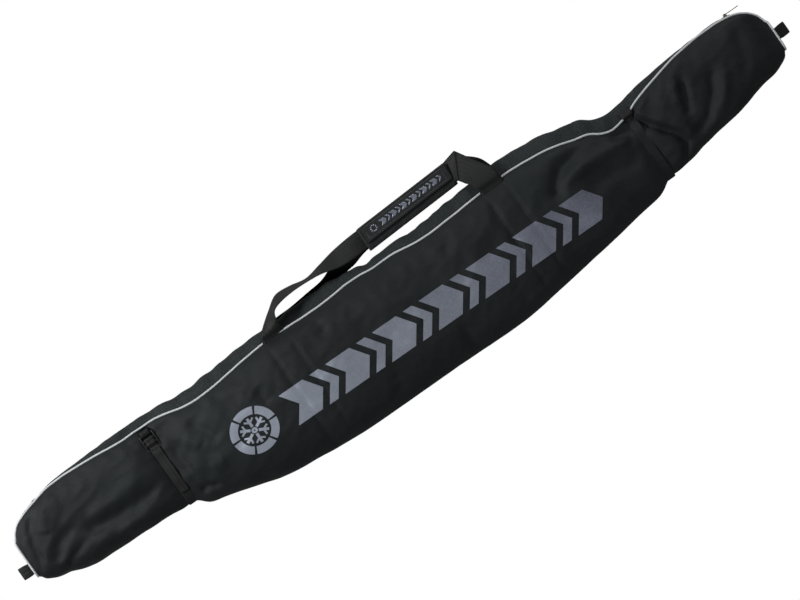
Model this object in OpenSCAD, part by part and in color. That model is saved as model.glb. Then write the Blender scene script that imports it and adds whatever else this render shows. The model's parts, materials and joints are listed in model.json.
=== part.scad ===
/* [Bag] */
// Length of the stuffed body between its end walls
body_l = 1720; // [1400:10:2000]
// Depth of the body where it is fullest
mid_depth = 104; // [92:1:150]
// Depth of the body at both end walls
end_depth = 60; // [56:1:80]
// Distance from the zip line to the bottom fold where the bag is widest
mid_low = 158; // [110:1:220]
// Height of the bottom edge below the axis near the tail
tail_low = 74; // [55:1:100]
// Height of the bottom edge below the axis near the tip
tip_low = 50; // [35:1:80]
// Height of the top edge above the axis, between the two straps
mid_top = 112; // [102:1:140]
// Height of the top edge above the axis near the tail
tail_top = 110; // [102:1:130]
// Height of the top edge above the axis near the tip
tip_top = 104; // [102:1:130]
// Thickness of the coated cloth with its backing
wall = 2; // [1.2:0.1:3]
// Radius of the piping cord
piping_r = 2.4; // [1.5:0.1:3.5]
// How far the front seam lies inside the top edge, between the straps
seam_inset = 25; // [15:1:32]

/* [Zip] */
// Height of the zip line above the axis
zip_y = 96; // [80:1:98]
// Height of the zip line above the ground
zip_z = 36; // [32:1:40]
// Width of one side of the zip tape
tape_w = 11; // [8:0.5:12]
// Thickness of the tape
tape_t = 1.2; // [0.8:0.1:1.6]
// Width of one row of teeth
teeth_w = 3; // [2:0.2:4]
// Thickness of the teeth
teeth_t = 1.6; // [1:0.1:2.5]
// Length of the zip slider
slider_l = 18; // [12:1:24]
// Width of the zip slider
slider_w = 12; // [10:0.5:16]
// Length of the pull from its pivot to its tip
pull_l = 30; // [20:1:45]
// Width of the pull
pull_w = 9; // [6:0.5:10]

/* [Mouth] */
// Half the length of the flap that folds back when the bag is open
flap_half = 515; // [400:5:520]
// Height of the fold line of the flap
crease_y = -35; // [-60:1:0]

/* [Handles] */
// Width of the handle webbing
handle_w = 50; // [38:1:60]
// Thickness of the handle webbing
handle_t = 2.4; // [1.6:0.2:3]
// Place of the handle's foot nearer the tail
foot_tail_x = -237; // [-300:1:-180]
// Place of the handle's foot nearer the tip
foot_tip_x = 257; // [215:1:300]
// Length of the padded grip
grip_l = 206; // [140:1:230]
// Width of the padded grip
grip_w = 49; // [40:1:60]
// Thickness of the padded grip
grip_t = 12.5; // [10:0.5:18]
// Place of the middle of the grip along the bag
grip_x = 106; // [80:1:120]
// Place of the middle of the grip out from the axis
grip_y = 147; // [144:1:165]
// Height of the middle of the grip
grip_z = 58; // [54:1:70]

/* [Straps and loops] */
// Place of the tail compression strap
tail_strap_x = -541; // [-620:1:-530]
// Place of the tip compression strap
tip_strap_x = 545; // [530:1:620]
// Width of the compression straps
strap_w = 20; // [15:1:30]
// Thickness of the compression straps
strap_t = 1.4; // [1:0.1:2]
// Width of the webbing of the end loops
loop_w = 25; // [20:1:30]
// Reach of the end loops beyond the end walls
loop_l = 26; // [20:1:40]
// Opening of the end loops
loop_gap = 9; // [6:0.5:14]
// Height of the end loops above the ground
loop_z = 30; // [24:1:36]
// Place of the tail end loop across the bag
tail_loop_y = -7; // [-15:1:30]
// Place of the tip end loop across the bag
tip_loop_y = 16; // [0:1:30]
// Place of the buckle across the bag
buckle_y = 64; // [60:1:66]

/* [Hidden] */
$fn = 40;

black = "#1d1f20";
cloth = "#23282a";
gusset_cloth = "#32393a";
webbing = "#201f1d";
silver = "#c9ccd0";
metal = "#b0a890";

// Clearance of sewn pieces that lie on each other, and of pieces that move
lay = 0.3;
// How far parts of one solid run into each other
fuse = 0.1;
half_l = body_l / 2;
// How far the rounded section dips below the ground before it is flattened
sink = 2;
// Gap between the flap and the cloth that it folds away from
fold_gap = 1;
// Gap between the two rows of teeth, which the slider's neck runs in
neck_gap = 1.3;
strap_depth = 0.72 * mid_depth;
// Distances from an end wall at which the rounded corners of the outline are set
corner_a = 14;
corner_b = 33;
corner_c = 65;
corner_d = 110;

// ---- Smooth curves through a few points [place, value] ----
function slope(k, i) =
    i == 0 || i == len(k) - 1 ? 0 : (k[i + 1][1] - k[i - 1][1]) / (k[i + 1][0] - k[i - 1][0]);
function span_of(k, x, i = 0) = i >= len(k) - 2 || x < k[i + 1][0] ? i : span_of(k, x, i + 1);
function along(k, x) =
    let (i = span_of(k, x), h = k[i + 1][0] - k[i][0], t = min(1, max(0, (x - k[i][0]) / h)))
    k[i][1] * (2 * t ^ 3 - 3 * t ^ 2 + 1) + k[i + 1][1] * (3 * t ^ 2 - 2 * t ^ 3)
    + h * (slope(k, i) * (t ^ 3 - 2 * t ^ 2 + t) + slope(k, i + 1) * (t ^ 3 - t ^ 2));

// ---- Outline of the body seen from the front ----
top_line = [
    [-half_l, tail_top - 52], [-half_l + corner_a, tail_top - 34],
    [-half_l + corner_b, tail_top - 20], [-half_l + corner_c, tail_top - 7],
    [-half_l + corner_d + 10, tail_top], [-flap_half, tail_top],
    [0, mid_top], [flap_half, tip_top], [half_l - corner_c - 5, tip_top],
    [half_l - corner_b, tip_top - 9], [half_l - corner_a, tip_top - 24], [half_l, tip_top - 52]
];
low_line = [
    [-half_l, -tail_low + 40], [-half_l + corner_a, -tail_low + 28],
    [-half_l + corner_b + 12, -tail_low + 12], [-half_l + corner_d, -tail_low], [-0.68 * half_l, -tail_low - 3], [-0.5 * half_l, -0.76 * mid_low],
    [-0.36 * half_l, -0.93 * mid_low], [-0.2 * half_l, -mid_low], [0.2 * half_l, -mid_low],
    [0.5 * half_l, -0.78 * mid_low], [0.75 * half_l, -tip_low - 28], [half_l - corner_b - 2, -tip_low + 6],
    [half_l - corner_a, -tip_low + 18], [half_l, -tip_low + 32]
];
depth_line = [
    [-half_l, end_depth], [tail_strap_x, strap_depth], [-0.3 * half_l, mid_depth],
    [0.3 * half_l, mid_depth], [tip_strap_x, strap_depth], [half_l, end_depth]
];
function top_at(x) = along(top_line, x);
function low_at(x) = along(low_line, x);
function depth_at(x) = along(depth_line, x);
function blend_at(x, a, b) = let (t = min(1, max(0, (abs(x) - a) / (b - a)))) t * t * (3 - 2 * t);
// Squareness of the section: full in the middle, boxy at the ends
function power_at(x) = 2.5 + 2.5 * blend_at(x, 0.6 * half_l, 0.85 * half_l);
function inset_at(x) = seam_inset - (seam_inset - 5) * blend_at(x, 0.52 * half_l, 0.82 * half_l);

// ---- Section of the body at one place ----
function half_wide(x) = (top_at(x) - low_at(x)) / 2;
function mid_y(x) = (top_at(x) + low_at(x)) / 2;
function half_deep(x) = (depth_at(x) + sink) / 2;
function mid_z(x) = (depth_at(x) - sink) / 2;
function rise_at(x, y) =
    let (q = min(1, abs(y - mid_y(x)) / half_wide(x)), n = power_at(x))
    half_deep(x) * (1 - q ^ n) ^ (1 / n);
function front_z(x, y) = mid_z(x) + rise_at(x, y);
function side_y(x, z) =
    let (q = min(1, abs(z - mid_z(x)) / half_deep(x)), n = power_at(x))
    mid_y(x) + half_wide(x) * (1 - q ^ n) ^ (1 / n);
function seam_y(x) = top_at(x) - inset_at(x);
// The fold line of the flap, which bends up where the body narrows towards its ends
function fold_y(x) = max(crease_y, mid_y(x) - 0.6 * half_wide(x));

// The ring runs from the front tape, over the front, round the fold and the back, to the back tape
gusset_n = 4;
flap_n = 5;
low_n = 6;
back_n = 10;
i_seam = gusset_n;
i_flap = i_seam + flap_n;
i_rest = i_flap + 1;
i_fold = i_rest + low_n;
i_back = i_fold + back_n;
i_end = i_back + gusset_n;

// A gusset point: pulled in to the zip line near the tape
function gusset_point(x, z, k) =
    let (y = side_y(x, z), pull = max(0, y - zip_y) * (1 - k) ^ 2) [y - pull, z];
function low_point(x, a) =
    let (n = power_at(x), c = cos(a), s = sin(a))
    [mid_y(x) + half_wide(x) * sign(c) * abs(c) ^ (2 / n),
     max(0, mid_z(x) + half_deep(x) * sign(s) * abs(s) ^ (2 / n))];
function angle_of(x, y) =
    let (q = (y - mid_y(x)) / half_wide(x)) acos(sign(q) * abs(q) ^ (power_at(x) / 2));
function ring(x) =
    let (
        zf = front_z(x, seam_y(x)),
        zb = mid_z(x) - rise_at(x, seam_y(x)),
        z0 = zip_z + tape_w,
        z1 = zip_z - tape_w,
        y1 = fold_y(x) + fold_gap / 2,
        a1 = angle_of(x, fold_y(x) - fold_gap / 2),
        a2 = 360 - angle_of(x, seam_y(x))
    )
    concat(
        [for (i = [0:gusset_n - 1]) let (k = i / gusset_n) gusset_point(x, z0 + (zf - z0) * k, k)],
        [for (i = [0:flap_n]) let (y = seam_y(x) + (y1 - seam_y(x)) * i / flap_n) [y, front_z(x, y)]],
        [for (i = [0:low_n]) low_point(x, a1 + (180 - a1) * i / low_n)],
        [for (i = [1:back_n]) low_point(x, 180 + (a2 - 180) * i / back_n)],
        [for (i = [1:gusset_n]) let (k = i / gusset_n) gusset_point(x, zb + (z1 - zb) * k, 1 - k)]
    );
// The ring moved inwards by a depth; a negative depth moves it outwards
function inward(p, depth) =
    [for (i = [0:len(p) - 1])
        let (t = p[min(i + 1, len(p) - 1)] - p[max(i - 1, 0)], n = [t[1], -t[0]] / norm(t))
        p[i] - depth * n];

// ---- Solids between two grids of points ----
module slab(outer, inner) {
    rows = len(outer);
    cols = len(outer[0]);
    total = rows * cols;
    pts = concat([for (r = outer) for (p = r) p], [for (r = inner) for (p = r) p]);
    function a(s, i) = s * cols + i;
    function b(s, i) = total + s * cols + i;
    polyhedron(points = pts, faces = concat(
        [for (s = [0:rows - 2]) for (i = [0:cols - 2]) each [
            [a(s, i), a(s + 1, i), a(s + 1, i + 1)], [a(s, i), a(s + 1, i + 1), a(s, i + 1)],
            [b(s, i), b(s + 1, i + 1), b(s + 1, i)], [b(s, i), b(s, i + 1), b(s + 1, i + 1)]]],
        [for (s = [0:rows - 2]) let (m = cols - 1) each [
            [a(s + 1, 0), a(s, 0), b(s, 0)], [a(s + 1, 0), b(s, 0), b(s + 1, 0)],
            [a(s, m), a(s + 1, m), b(s, m)], [a(s + 1, m), b(s + 1, m), b(s, m)]]],
        [for (i = [0:cols - 2]) let (m = rows - 1) each [
            [a(0, i), a(0, i + 1), b(0, i + 1)], [a(0, i), b(0, i + 1), b(0, i)],
            [a(m, i + 1), a(m, i), b(m, i)], [a(m, i + 1), b(m, i), b(m, i + 1)]]]
    ), convexity = 6);
}
function cells(x, from, to, depth) =
    let (p = inward(ring_on(x), depth)) [for (i = [from:to]) [x, p[i][0], p[i][1]]];
// A stretch of the body's skin, between two depths below its outer surface
module skin(xs, from, to, outer = 0, inner = wall) {
    slab([for (x = xs) cells(x, from, to, outer)], [for (x = xs) cells(x, from, to, inner)]);
}
// A flat strip along rows of [middle, half width]
module strip(rows, t) {
    n = len(rows) - 1;
    function up(s) =
        let (d = rows[min(s + 1, n)][0] - rows[max(s - 1, 0)][0], c = cross(rows[s][1], d)) c / norm(c);
    function edge(s, h) = [rows[s][0] - rows[s][1] + h * up(s), rows[s][0] + rows[s][1] + h * up(s)];
    slab([for (s = [0:n]) edge(s, t / 2)], [for (s = [0:n]) edge(s, -t / 2)]);
}
// A round cord along a path that stays nearly level
module cord(path, r, sides = 8) {
    n = len(path) - 1;
    function ring_at(s) =
        let (
            t = path[min(s + 1, n)] - path[max(s - 1, 0)],
            u = cross([0, 0, 1], t) / norm(cross([0, 0, 1], t)),
            v = cross(t / norm(t), u)
        )
        [for (i = [0:sides - 1]) path[s] + r * (cos(360 * i / sides) * u + sin(360 * i / sides) * v)];
    polyhedron(
        points = [for (s = [0:n]) each ring_at(s)],
        faces = concat(
            [for (s = [0:n - 1]) for (i = [0:sides - 1])
                let (j = (i + 1) % sides, p = s * sides, q = p + sides)
                each [[p + i, q + j, p + j], [p + i, q + i, q + j]]],
            [[for (i = [0:sides - 1]) i]],
            [[for (i = [sides - 1:-1:0]) n * sides + i]]
        )
    );
}

// ---- Places along the bag where the skin is drawn ----
tail_xs = concat(
    [-half_l, -half_l + corner_a, -half_l + corner_b, -half_l + corner_c],
    [for (i = [0:5]) -half_l + corner_d + (half_l - corner_d - flap_half) * i / 5]
);
flap_xs = [for (i = [0:14]) (flap_half - fold_gap / 2) * (i / 7 - 1)];
rest_xs = [for (i = [0:14]) flap_half * (i / 7 - 1)];
tip_xs = concat(
    [for (i = [0:5]) flap_half + (half_l - corner_d - flap_half) * i / 5],
    [half_l - corner_c, half_l - corner_b, half_l - corner_a, half_l]
);
function inner_of(xs) = [for (i = [1:len(xs) - 1]) xs[i]];
whole_xs = concat(tail_xs, inner_of(rest_xs), inner_of(tip_xs));
zip_tail = -half_l + corner_c;
zip_tip = half_l - corner_b - 13;

// The ring on the drawn skin, which runs straight between its places
function place_of(x, i = 0) =
    i >= len(whole_xs) - 2 || x < whole_xs[i + 1] ? i : place_of(x, i + 1);
function ring_on(x) =
    let (i = place_of(x), k = (x - whole_xs[i]) / (whole_xs[i + 1] - whole_xs[i]))
    k < 0.001 ? ring(whole_xs[i]) : k > 0.999 ? ring(whole_xs[i + 1])
    : (1 - k) * ring(whole_xs[i]) + k * ring(whole_xs[i + 1]);

// ---- Cloth ----
module back_panel() {
    color(cloth) skin(whole_xs, i_fold, i_back);
}
module front_panel() {
    color(cloth) {
        skin(tail_xs, i_seam, i_fold);
        skin(rest_xs, i_rest, i_fold);
        skin(tip_xs, i_seam, i_fold);
    }
}
module front_panel_flap() {
    color(cloth) skin(flap_xs, i_seam, i_flap);
}
module back_gusset() {
    color(gusset_cloth) skin(whole_xs, i_back, i_end);
}
module front_gusset_ends() {
    color(gusset_cloth) {
        skin(tail_xs, 0, i_seam);
        skin(tip_xs, 0, i_seam);
    }
}
module front_gusset_flap() {
    color(gusset_cloth) skin(flap_xs, 0, i_seam);
}
module end_wall(x, at) {
    color(gusset_cloth) translate([at, 0, 0]) rotate([90, 0, 90]) linear_extrude(wall) polygon(ring(x));
}
module tail_end_wall() { end_wall(-half_l, -half_l - wall); }
module tip_end_wall() { end_wall(half_l, half_l); }
// Cloth that closes the gusset between the zip's ends and the end walls
module end_cover(xs) {
    z0 = zip_z - tape_w + 4 * lay;
    z1 = zip_z + tape_w - 4 * lay;
    function edge(x, d) =
        [for (z = [z0, zip_z, z1]) [x, min(side_y(x, z), zip_y) - d, z]];
    color(gusset_cloth)
        slab([for (x = xs) edge(x, 0)], [for (x = xs) edge(x, wall)]);
}
module zip_end_covers() {
    end_cover([-half_l, -half_l + corner_a, -half_l + corner_b, zip_tail - lay]);
    end_cover([zip_tip + lay, half_l - corner_b, half_l - corner_a, half_l]);
}

// ---- Piping ----
// A point of the piping, outside the skin in the section and in the outline
function pipe_point(x, i) =
    let (
        r = ring_on(x),
        t = r[i + 1] - r[i - 1],
        step = 2,
        lean = (seam_y(min(half_l, x + step)) - seam_y(max(-half_l, x - step))) / (2 * step),
        n = [-lean * t[1], t[1], -t[0]]
    )
    [x, r[i][0], r[i][1]] + (piping_r + lay) * n / norm(n);
pipe_out = wall + piping_r + lay;
// How far from an end wall the piping leaves the seam to turn the corner
pipe_turn = 5;
module piping_end(xs, side) {
    x = side * (half_l + pipe_out);
    z = front_z(side * half_l, seam_y(side * half_l)) - piping_r;
    top = top_at(side * half_l);
    low = low_at(side * half_l);
    path = concat(
        [for (p = xs) if (abs(p) < half_l - pipe_turn) pipe_point(p, i_seam)],
        [[x, top + 4, z], [x, top - 12, z], [x, (top + low) / 2, z], [x, low + 12, z]]
    );
    color(silver) cord(side > 0 ? path : [for (i = [len(path) - 1:-1:0]) path[i]], piping_r);
}
function reversed(v) = [for (i = [len(v) - 1:-1:0]) v[i]];
module front_piping_ends() {
    piping_end(concat([flap_half + fold_gap / 2], inner_of(tip_xs)), 1);
    piping_end(concat([-flap_half - fold_gap / 2], inner_of(reversed(tail_xs))), -1);
}
module front_piping_flap() {
    color(silver) cord([for (x = flap_xs) pipe_point(x, i_seam)], piping_r);
}
module back_piping() {
    color(silver) cord([for (x = whole_xs) if (abs(x) < half_l - pipe_turn) pipe_point(x, i_back)], piping_r);
}

// ---- Zip ----
module tape(x0, x1, side) {
    color(webbing)
        translate([x0, zip_y - tape_t, side > 0 ? zip_z + neck_gap : zip_z - tape_w + lay])
        cube([x1 - x0, tape_t, tape_w - neck_gap - lay]);
}
module teeth(x0, x1, side) {
    color(black)
        translate([x0, zip_y, side > 0 ? zip_z + neck_gap / 2 : zip_z - neck_gap / 2 - teeth_w])
        cube([x1 - x0, teeth_t, teeth_w]);
}
flap_edge = flap_half - fold_gap / 2;
rest_edge = flap_half + fold_gap / 2;
// How far the teeth stop short of the ends of the tape, and the width of a stop
teeth_in = 5;
stop_l = 3;
module zip_tape_back() { tape(zip_tail, zip_tip, -1); }
module zip_tape_front_flap() { tape(-flap_edge, flap_edge, 1); }
module zip_tape_front_ends() {
    tape(zip_tail, -rest_edge, 1);
    tape(rest_edge, zip_tip, 1);
}
module zip_teeth_back() { teeth(zip_tail + teeth_in, zip_tip - teeth_in, -1); }
module zip_teeth_front_flap() { teeth(-flap_edge, flap_edge, 1); }
module zip_teeth_front_ends() {
    teeth(zip_tail + teeth_in, -rest_edge, 1);
    teeth(rest_edge, zip_tip - teeth_in, 1);
}
module zip_stops() {
    stop_w = 2 * teeth_w + neck_gap;
    color(metal) for (x = [zip_tail + stop_l / 2, zip_tip - 1.5 * stop_l])
        translate([x, zip_y, zip_z - stop_w / 2]) cube([stop_l, teeth_t + 2 * lay, stop_w]);
}
slider_x = zip_tip - 2 * stop_l - slider_l / 2;
// Thickness of the slider's plates
plate_t = 1.8;
plate_y = zip_y + teeth_t + lay;
// Clearance between the neck and the teeth on each side
neck_play = 0.25;
neck_w = neck_gap - 2 * neck_play;
// The pin that the pull turns on, its ears and the eye of the pull
pivot_x = slider_x + slider_l / 2 - 4;
pivot_r = 1;
pivot_y = plate_y + plate_t + 2.2;
eye_w = 4;
ear_r = 1.9;
ear_t = 1.2;
ear_z = eye_w / 2 + lay;
module slider_plate(y) {
    translate([slider_x, y, zip_z]) rotate([-90, 0, 0]) linear_extrude(plate_t)
        intersection() {
            square([slider_l, slider_w], center = true);
            union() {
                circle(r = slider_l * 0.58);
                translate([-slider_l / 4, 0]) square([slider_l / 2, slider_w], center = true);
            }
        }
}
module zip_slider() {
    back_y = zip_y - tape_t - lay - plate_t;
    color(metal) {
        slider_plate(plate_y);
        slider_plate(back_y);
        translate([slider_x - slider_l / 4, back_y, zip_z - neck_w / 2])
            cube([slider_l / 2, plate_y + plate_t - back_y, neck_w]);
        for (side = [-1, 1])
            translate([pivot_x, plate_y + plate_t, zip_z + side * (ear_z + ear_t / 2) - ear_t / 2])
            linear_extrude(ear_t) {
                translate([-ear_r, -fuse]) square([2 * ear_r, pivot_y - plate_y - plate_t + fuse]);
                translate([0, pivot_y - plate_y - plate_t]) circle(r = ear_r);
            }
        translate([pivot_x, pivot_y, zip_z - ear_z - ear_t / 2])
            cylinder(r = pivot_r, h = 2 * ear_z + ear_t);
    }
}
module zip_pull() {
    t = 1.6;
    hole_r = 2.4;
    stem_l = 8;
    bore_r = pivot_r + 0.06;
    tab_l = pull_l - stem_l - pull_w / 2;
    color(metal) {
        difference() {
            union() {
                translate([pivot_x, pivot_y, zip_z - eye_w / 2]) cylinder(r = pivot_r + 1, h = eye_w);
                translate([pivot_x + 0.5, pivot_y - t / 2, zip_z - eye_w / 2]) cube([stem_l, t, eye_w]);
            }
            translate([pivot_x, pivot_y, zip_z - eye_w]) cylinder(r = bore_r, h = 2 * eye_w);
        }
        translate([pivot_x + stem_l, pivot_y + t / 2, zip_z]) rotate([90, 0, 0]) linear_extrude(t)
            difference() {
                union() {
                    translate([0, -pull_w / 2]) square([tab_l, pull_w]);
                    translate([tab_l, 0]) circle(r = pull_w / 2);
                }
                translate([tab_l, 0]) circle(r = hole_r);
            }
    }
}

// ---- Handles ----
half_w = handle_w / 2;
inside_w = 0.38 * handle_w;
grip_tail = grip_x - grip_l / 2;
grip_tip = grip_x + grip_l / 2;
// Height of the front webbing in the grip, and of the back webbing below it
web_z = grip_z;
foot_y = seam_y(0);
foot_z = max(front_z(foot_tail_x + half_w, foot_y), front_z(foot_tip_x - half_w, foot_y))
    + 2 * piping_r + handle_t / 2 + 4 * lay;
// Padding under the front webbing
pad_under = 2.6;
sleeve_z0 = web_z - handle_t / 2 - lay - pad_under;
back_web_z = sleeve_z0 - lay - handle_t / 2;
module handle_front() {
    color(webbing) strip([
        [[foot_tail_x, foot_y, foot_z], [half_w, 0, 0]],
        [[foot_tail_x + 5, foot_y + 20, foot_z - 8], [half_w, -4, 0]],
        [[foot_tail_x + 22, grip_y - 10, web_z + 14], [0.8 * half_w, -12, 4]],
        [[foot_tail_x + 60, grip_y - 3, web_z + 6], [10, -0.75 * half_w, 6]],
        [[grip_tail - 70, grip_y - 2, web_z + 1], [2, -0.8 * half_w, 2]],
        [[grip_tail - 20, grip_y, web_z], [0, -inside_w, 0]],
        [[grip_tip + 6, grip_y, web_z], [0, -inside_w, 0]],
        [[foot_tip_x - 22, grip_y + 2, web_z + 6], [-8, -half_w, 0]],
        [[foot_tip_x - 8, grip_y - 14, web_z + 18], [-0.8 * half_w, -12, 0]],
        [[foot_tip_x - 2, foot_y + 20, foot_z - 8], [-half_w, -3, 0]],
        [[foot_tip_x, foot_y, foot_z], [-half_w, 0, 0]]
    ], handle_t);
}
module handle_back() {
    back_foot = 4;
    color(webbing) strip([
        [[foot_tail_x, foot_y + 3, back_foot], [half_w, 0, 0]],
        [[foot_tail_x + 4, mid_top + 10, 12], [half_w, 0, 0]],
        [[foot_tail_x + 22, mid_top + 22, 28], [0.8 * half_w, -6, -3]],
        [[foot_tail_x + 70, grip_y - 8, back_web_z - 8], [6, -0.6 * half_w, -4]],
        [[grip_tail - 70, grip_y - 2, back_web_z - 2], [0, -0.7 * half_w, 0]],
        [[grip_tail - 20, grip_y, back_web_z], [0, -inside_w, 0]],
        [[grip_tip + 6, grip_y, back_web_z], [0, -inside_w, 0]],
        [[foot_tip_x - 24, mid_top + 26, back_web_z - 14], [-8, -0.7 * half_w, 0]],
        [[foot_tip_x - 6, mid_top + 18, 24], [-0.8 * half_w, -6, 3]],
        [[foot_tip_x - 2, mid_top + 10, 12], [-half_w, 0, 0]],
        [[foot_tip_x, foot_y + 3, back_foot], [-half_w, 0, 0]]
    ], handle_t);
}
sleeve_z1 = sleeve_z0 + grip_t - 3;
module grip_sleeve() {
    r = 4;
    h = sleeve_z1 - sleeve_z0;
    slot_h = handle_t + 2 * lay;
    slot_w = 2 * inside_w + 2 * lay;
    color(black) translate([grip_tail, grip_y, sleeve_z0]) rotate([90, 0, 90]) linear_extrude(grip_l)
        difference() {
            union() {
                translate([-grip_w / 2 + r, 0]) square([grip_w - 2 * r, h]);
                translate([-grip_w / 2, r]) square([grip_w, h - 2 * r]);
                for (y = [-1, 1]) for (z = [r, h - r]) translate([y * (grip_w / 2 - r), z]) circle(r = r);
            }
            translate([-slot_w / 2, web_z - slot_h / 2 - sleeve_z0]) square([slot_w, slot_h]);
        }
}
// Hook and loop strips, the flap over them, and how far they stay inside the sleeve
strip_t = 0.8;
flap_t = 1.6;
strip_in = 6;
flap_in = 2;
strip_y = 4;
strip_w = 0.62 * grip_w - 12;
flap_z = sleeve_z1 + 2 * strip_t + lay;
flap_w = 0.62 * grip_w;
flap_hinge_y = grip_y + grip_w / 2 - 3;
module grip_loop_strip() {
    color(black) translate([grip_tail + strip_in, flap_hinge_y - flap_w + strip_y, sleeve_z1])
        cube([grip_l - 2 * strip_in, strip_w, strip_t]);
}
module grip_hook_strip() {
    color(black) translate([grip_tail + strip_in, flap_hinge_y - flap_w + strip_y, flap_z - strip_t])
        cube([grip_l - 2 * strip_in, strip_w, strip_t]);
}
module grip_flap() {
    color(black) translate([grip_tail + flap_in, flap_hinge_y - flap_w, flap_z])
        cube([grip_l - 2 * flap_in, flap_w, flap_t]);
}

// ---- Webbing sewn behind the panels below the handles ----
band_w = 0.9 * handle_w;
band_in = wall + lay;
module band(from, to) {
    color(webbing) for (x = [foot_tail_x, foot_tip_x])
        skin([x - band_w / 2, x, x + band_w / 2], from, to, band_in, band_in + strap_t);
}
module handle_band_upper() { band(i_seam + 1, i_flap); }
module handle_band_lower() { band(i_rest, i_fold); }
module handle_band_back() { band(i_fold, i_back - 1); }

// ---- Tail compression strap and its buckle ----
module strap_on(x, from, to, lift) {
    color(webbing) skin([x - strap_w / 2, x, x + strap_w / 2], from, to, -lift - strap_t, -lift);
}
module tail_strap() { strap_on(tail_strap_x, i_seam + 1, i_fold + 2, lay); }
module tail_strap_end() { strap_on(tail_strap_x, i_seam + 2, i_rest + 1, 2 * lay + strap_t); }
bar_y = buckle_y + 13;
bar_r = 1.7;
bar_z = front_z(tail_strap_x, buckle_y - 17) + strap_t + bar_r + 2.5 * lay;
rail_w = 3;
module tail_buckle() {
    in_w = strap_w + 2;
    bar_l = in_w + 2 * rail_w;
    lip_y = buckle_y - 15;
    color(black) {
        for (y = [bar_y, buckle_y + 2, buckle_y - 8])
            translate([tail_strap_x - bar_l / 2, y, bar_z]) rotate([0, 90, 0]) cylinder(r = bar_r, h = bar_l);
        for (side = [-1, 1]) translate([tail_strap_x + side * (in_w + rail_w) / 2, 0, bar_z])
            translate([-rail_w / 2, lip_y, -bar_r]) cube([rail_w, bar_y - lip_y, 2 * bar_r]);
        translate([tail_strap_x - bar_l / 2, lip_y - 2, bar_z - 0.6]) cube([bar_l, 4, bar_r + 1.4]);
    }
}
// Webbing threaded over the buckle's middle bars, which tilts with the buckle
module buckle_weave() {
    color(webbing) translate([tail_strap_x - strap_w / 2, buckle_y - 6, bar_z + bar_r + lay / 2])
        cube([strap_w, 10, strap_t]);
}
// Loop of webbing from the seam round the buckle's first bar
module buckle_anchor() {
    r_in = bar_r + lay;
    r_out = r_in + strap_t;
    leg = 12;
    color(webbing) translate([tail_strap_x - strap_w / 2, bar_y, bar_z]) rotate([90, 0, 90])
        linear_extrude(strap_w) difference() {
            union() {
                circle(r = r_out);
                translate([0, -r_out]) square([leg, 2 * r_out]);
            }
            circle(r = r_in);
            translate([0, -r_in]) square([leg - 2, 2 * r_in]);
        }
}

// ---- Tip compression strap ----
module tip_strap() { strap_on(tip_strap_x, i_seam + 1, i_fold + 2, lay); }
module tip_strap_tab() {
    w = 23;
    l = 22;
    r = 5;
    y1 = seam_y(tip_strap_x) - piping_r - 2;
    z = front_z(tip_strap_x - w / 2, y1 - l) + strap_t + 2 * lay;
    color(webbing) translate([tip_strap_x, y1 - l, z]) linear_extrude(strap_t) union() {
        translate([-w / 2, r]) square([w, l - r]);
        translate([-w / 2 + r, 0]) square([w - 2 * r, r]);
        for (side = [-1, 1]) translate([side * (w / 2 - r), r]) circle(r = r);
    }
}

// ---- End loops ----
module end_loop(side, y) {
    t = 1.6;
    r = loop_gap / 2 + t;
    x0 = side * (half_l + wall + lay);
    color(webbing) translate([x0, y - loop_w / 2, loop_z]) scale([side, 1, 1])
        translate([0, loop_w, 0]) rotate([90, 0, 0]) linear_extrude(loop_w) difference() {
            union() {
                translate([0, -r]) square([loop_l - r, 2 * r]);
                translate([loop_l - r, 0]) circle(r = r);
            }
            translate([t, -r + t]) square([loop_l - r - t, 2 * (r - t)]);
            translate([loop_l - r, 0]) circle(r = r - t);
        }
}
module tail_loop() { end_loop(-1, tail_loop_y); }
module tip_loop() { end_loop(1, tip_loop_y); }

back_panel();
front_panel();
front_panel_flap();
back_gusset();
front_gusset_ends();
front_gusset_flap();
tail_end_wall();
tip_end_wall();
zip_end_covers();
front_piping_flap();
front_piping_ends();
back_piping();
zip_tape_back();
zip_tape_front_ends();
zip_tape_front_flap();
zip_teeth_back();
zip_teeth_front_ends();
zip_teeth_front_flap();
zip_stops();
zip_slider();
zip_pull();
handle_front();
handle_back();
grip_sleeve();
grip_flap();
grip_hook_strip();
grip_loop_strip();
handle_band_upper();
handle_band_lower();
handle_band_back();
tail_strap();
tail_strap_end();
buckle_anchor();
tail_buckle();
buckle_weave();
tip_strap();
tip_strap_tab();
tail_loop();
tip_loop();
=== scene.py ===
"""Ski bag: a stuffed bag of woven cloth with silver piping, a zip, handles, straps and end loops.

Sizes are in millimetres until a mesh is made; +X runs to the tip, +Y to the zip, +Z out of the front.
"""
import json
import math

import bmesh
import bpy
import numpy as np
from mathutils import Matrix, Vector
from mathutils.bvhtree import BVHTree


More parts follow.
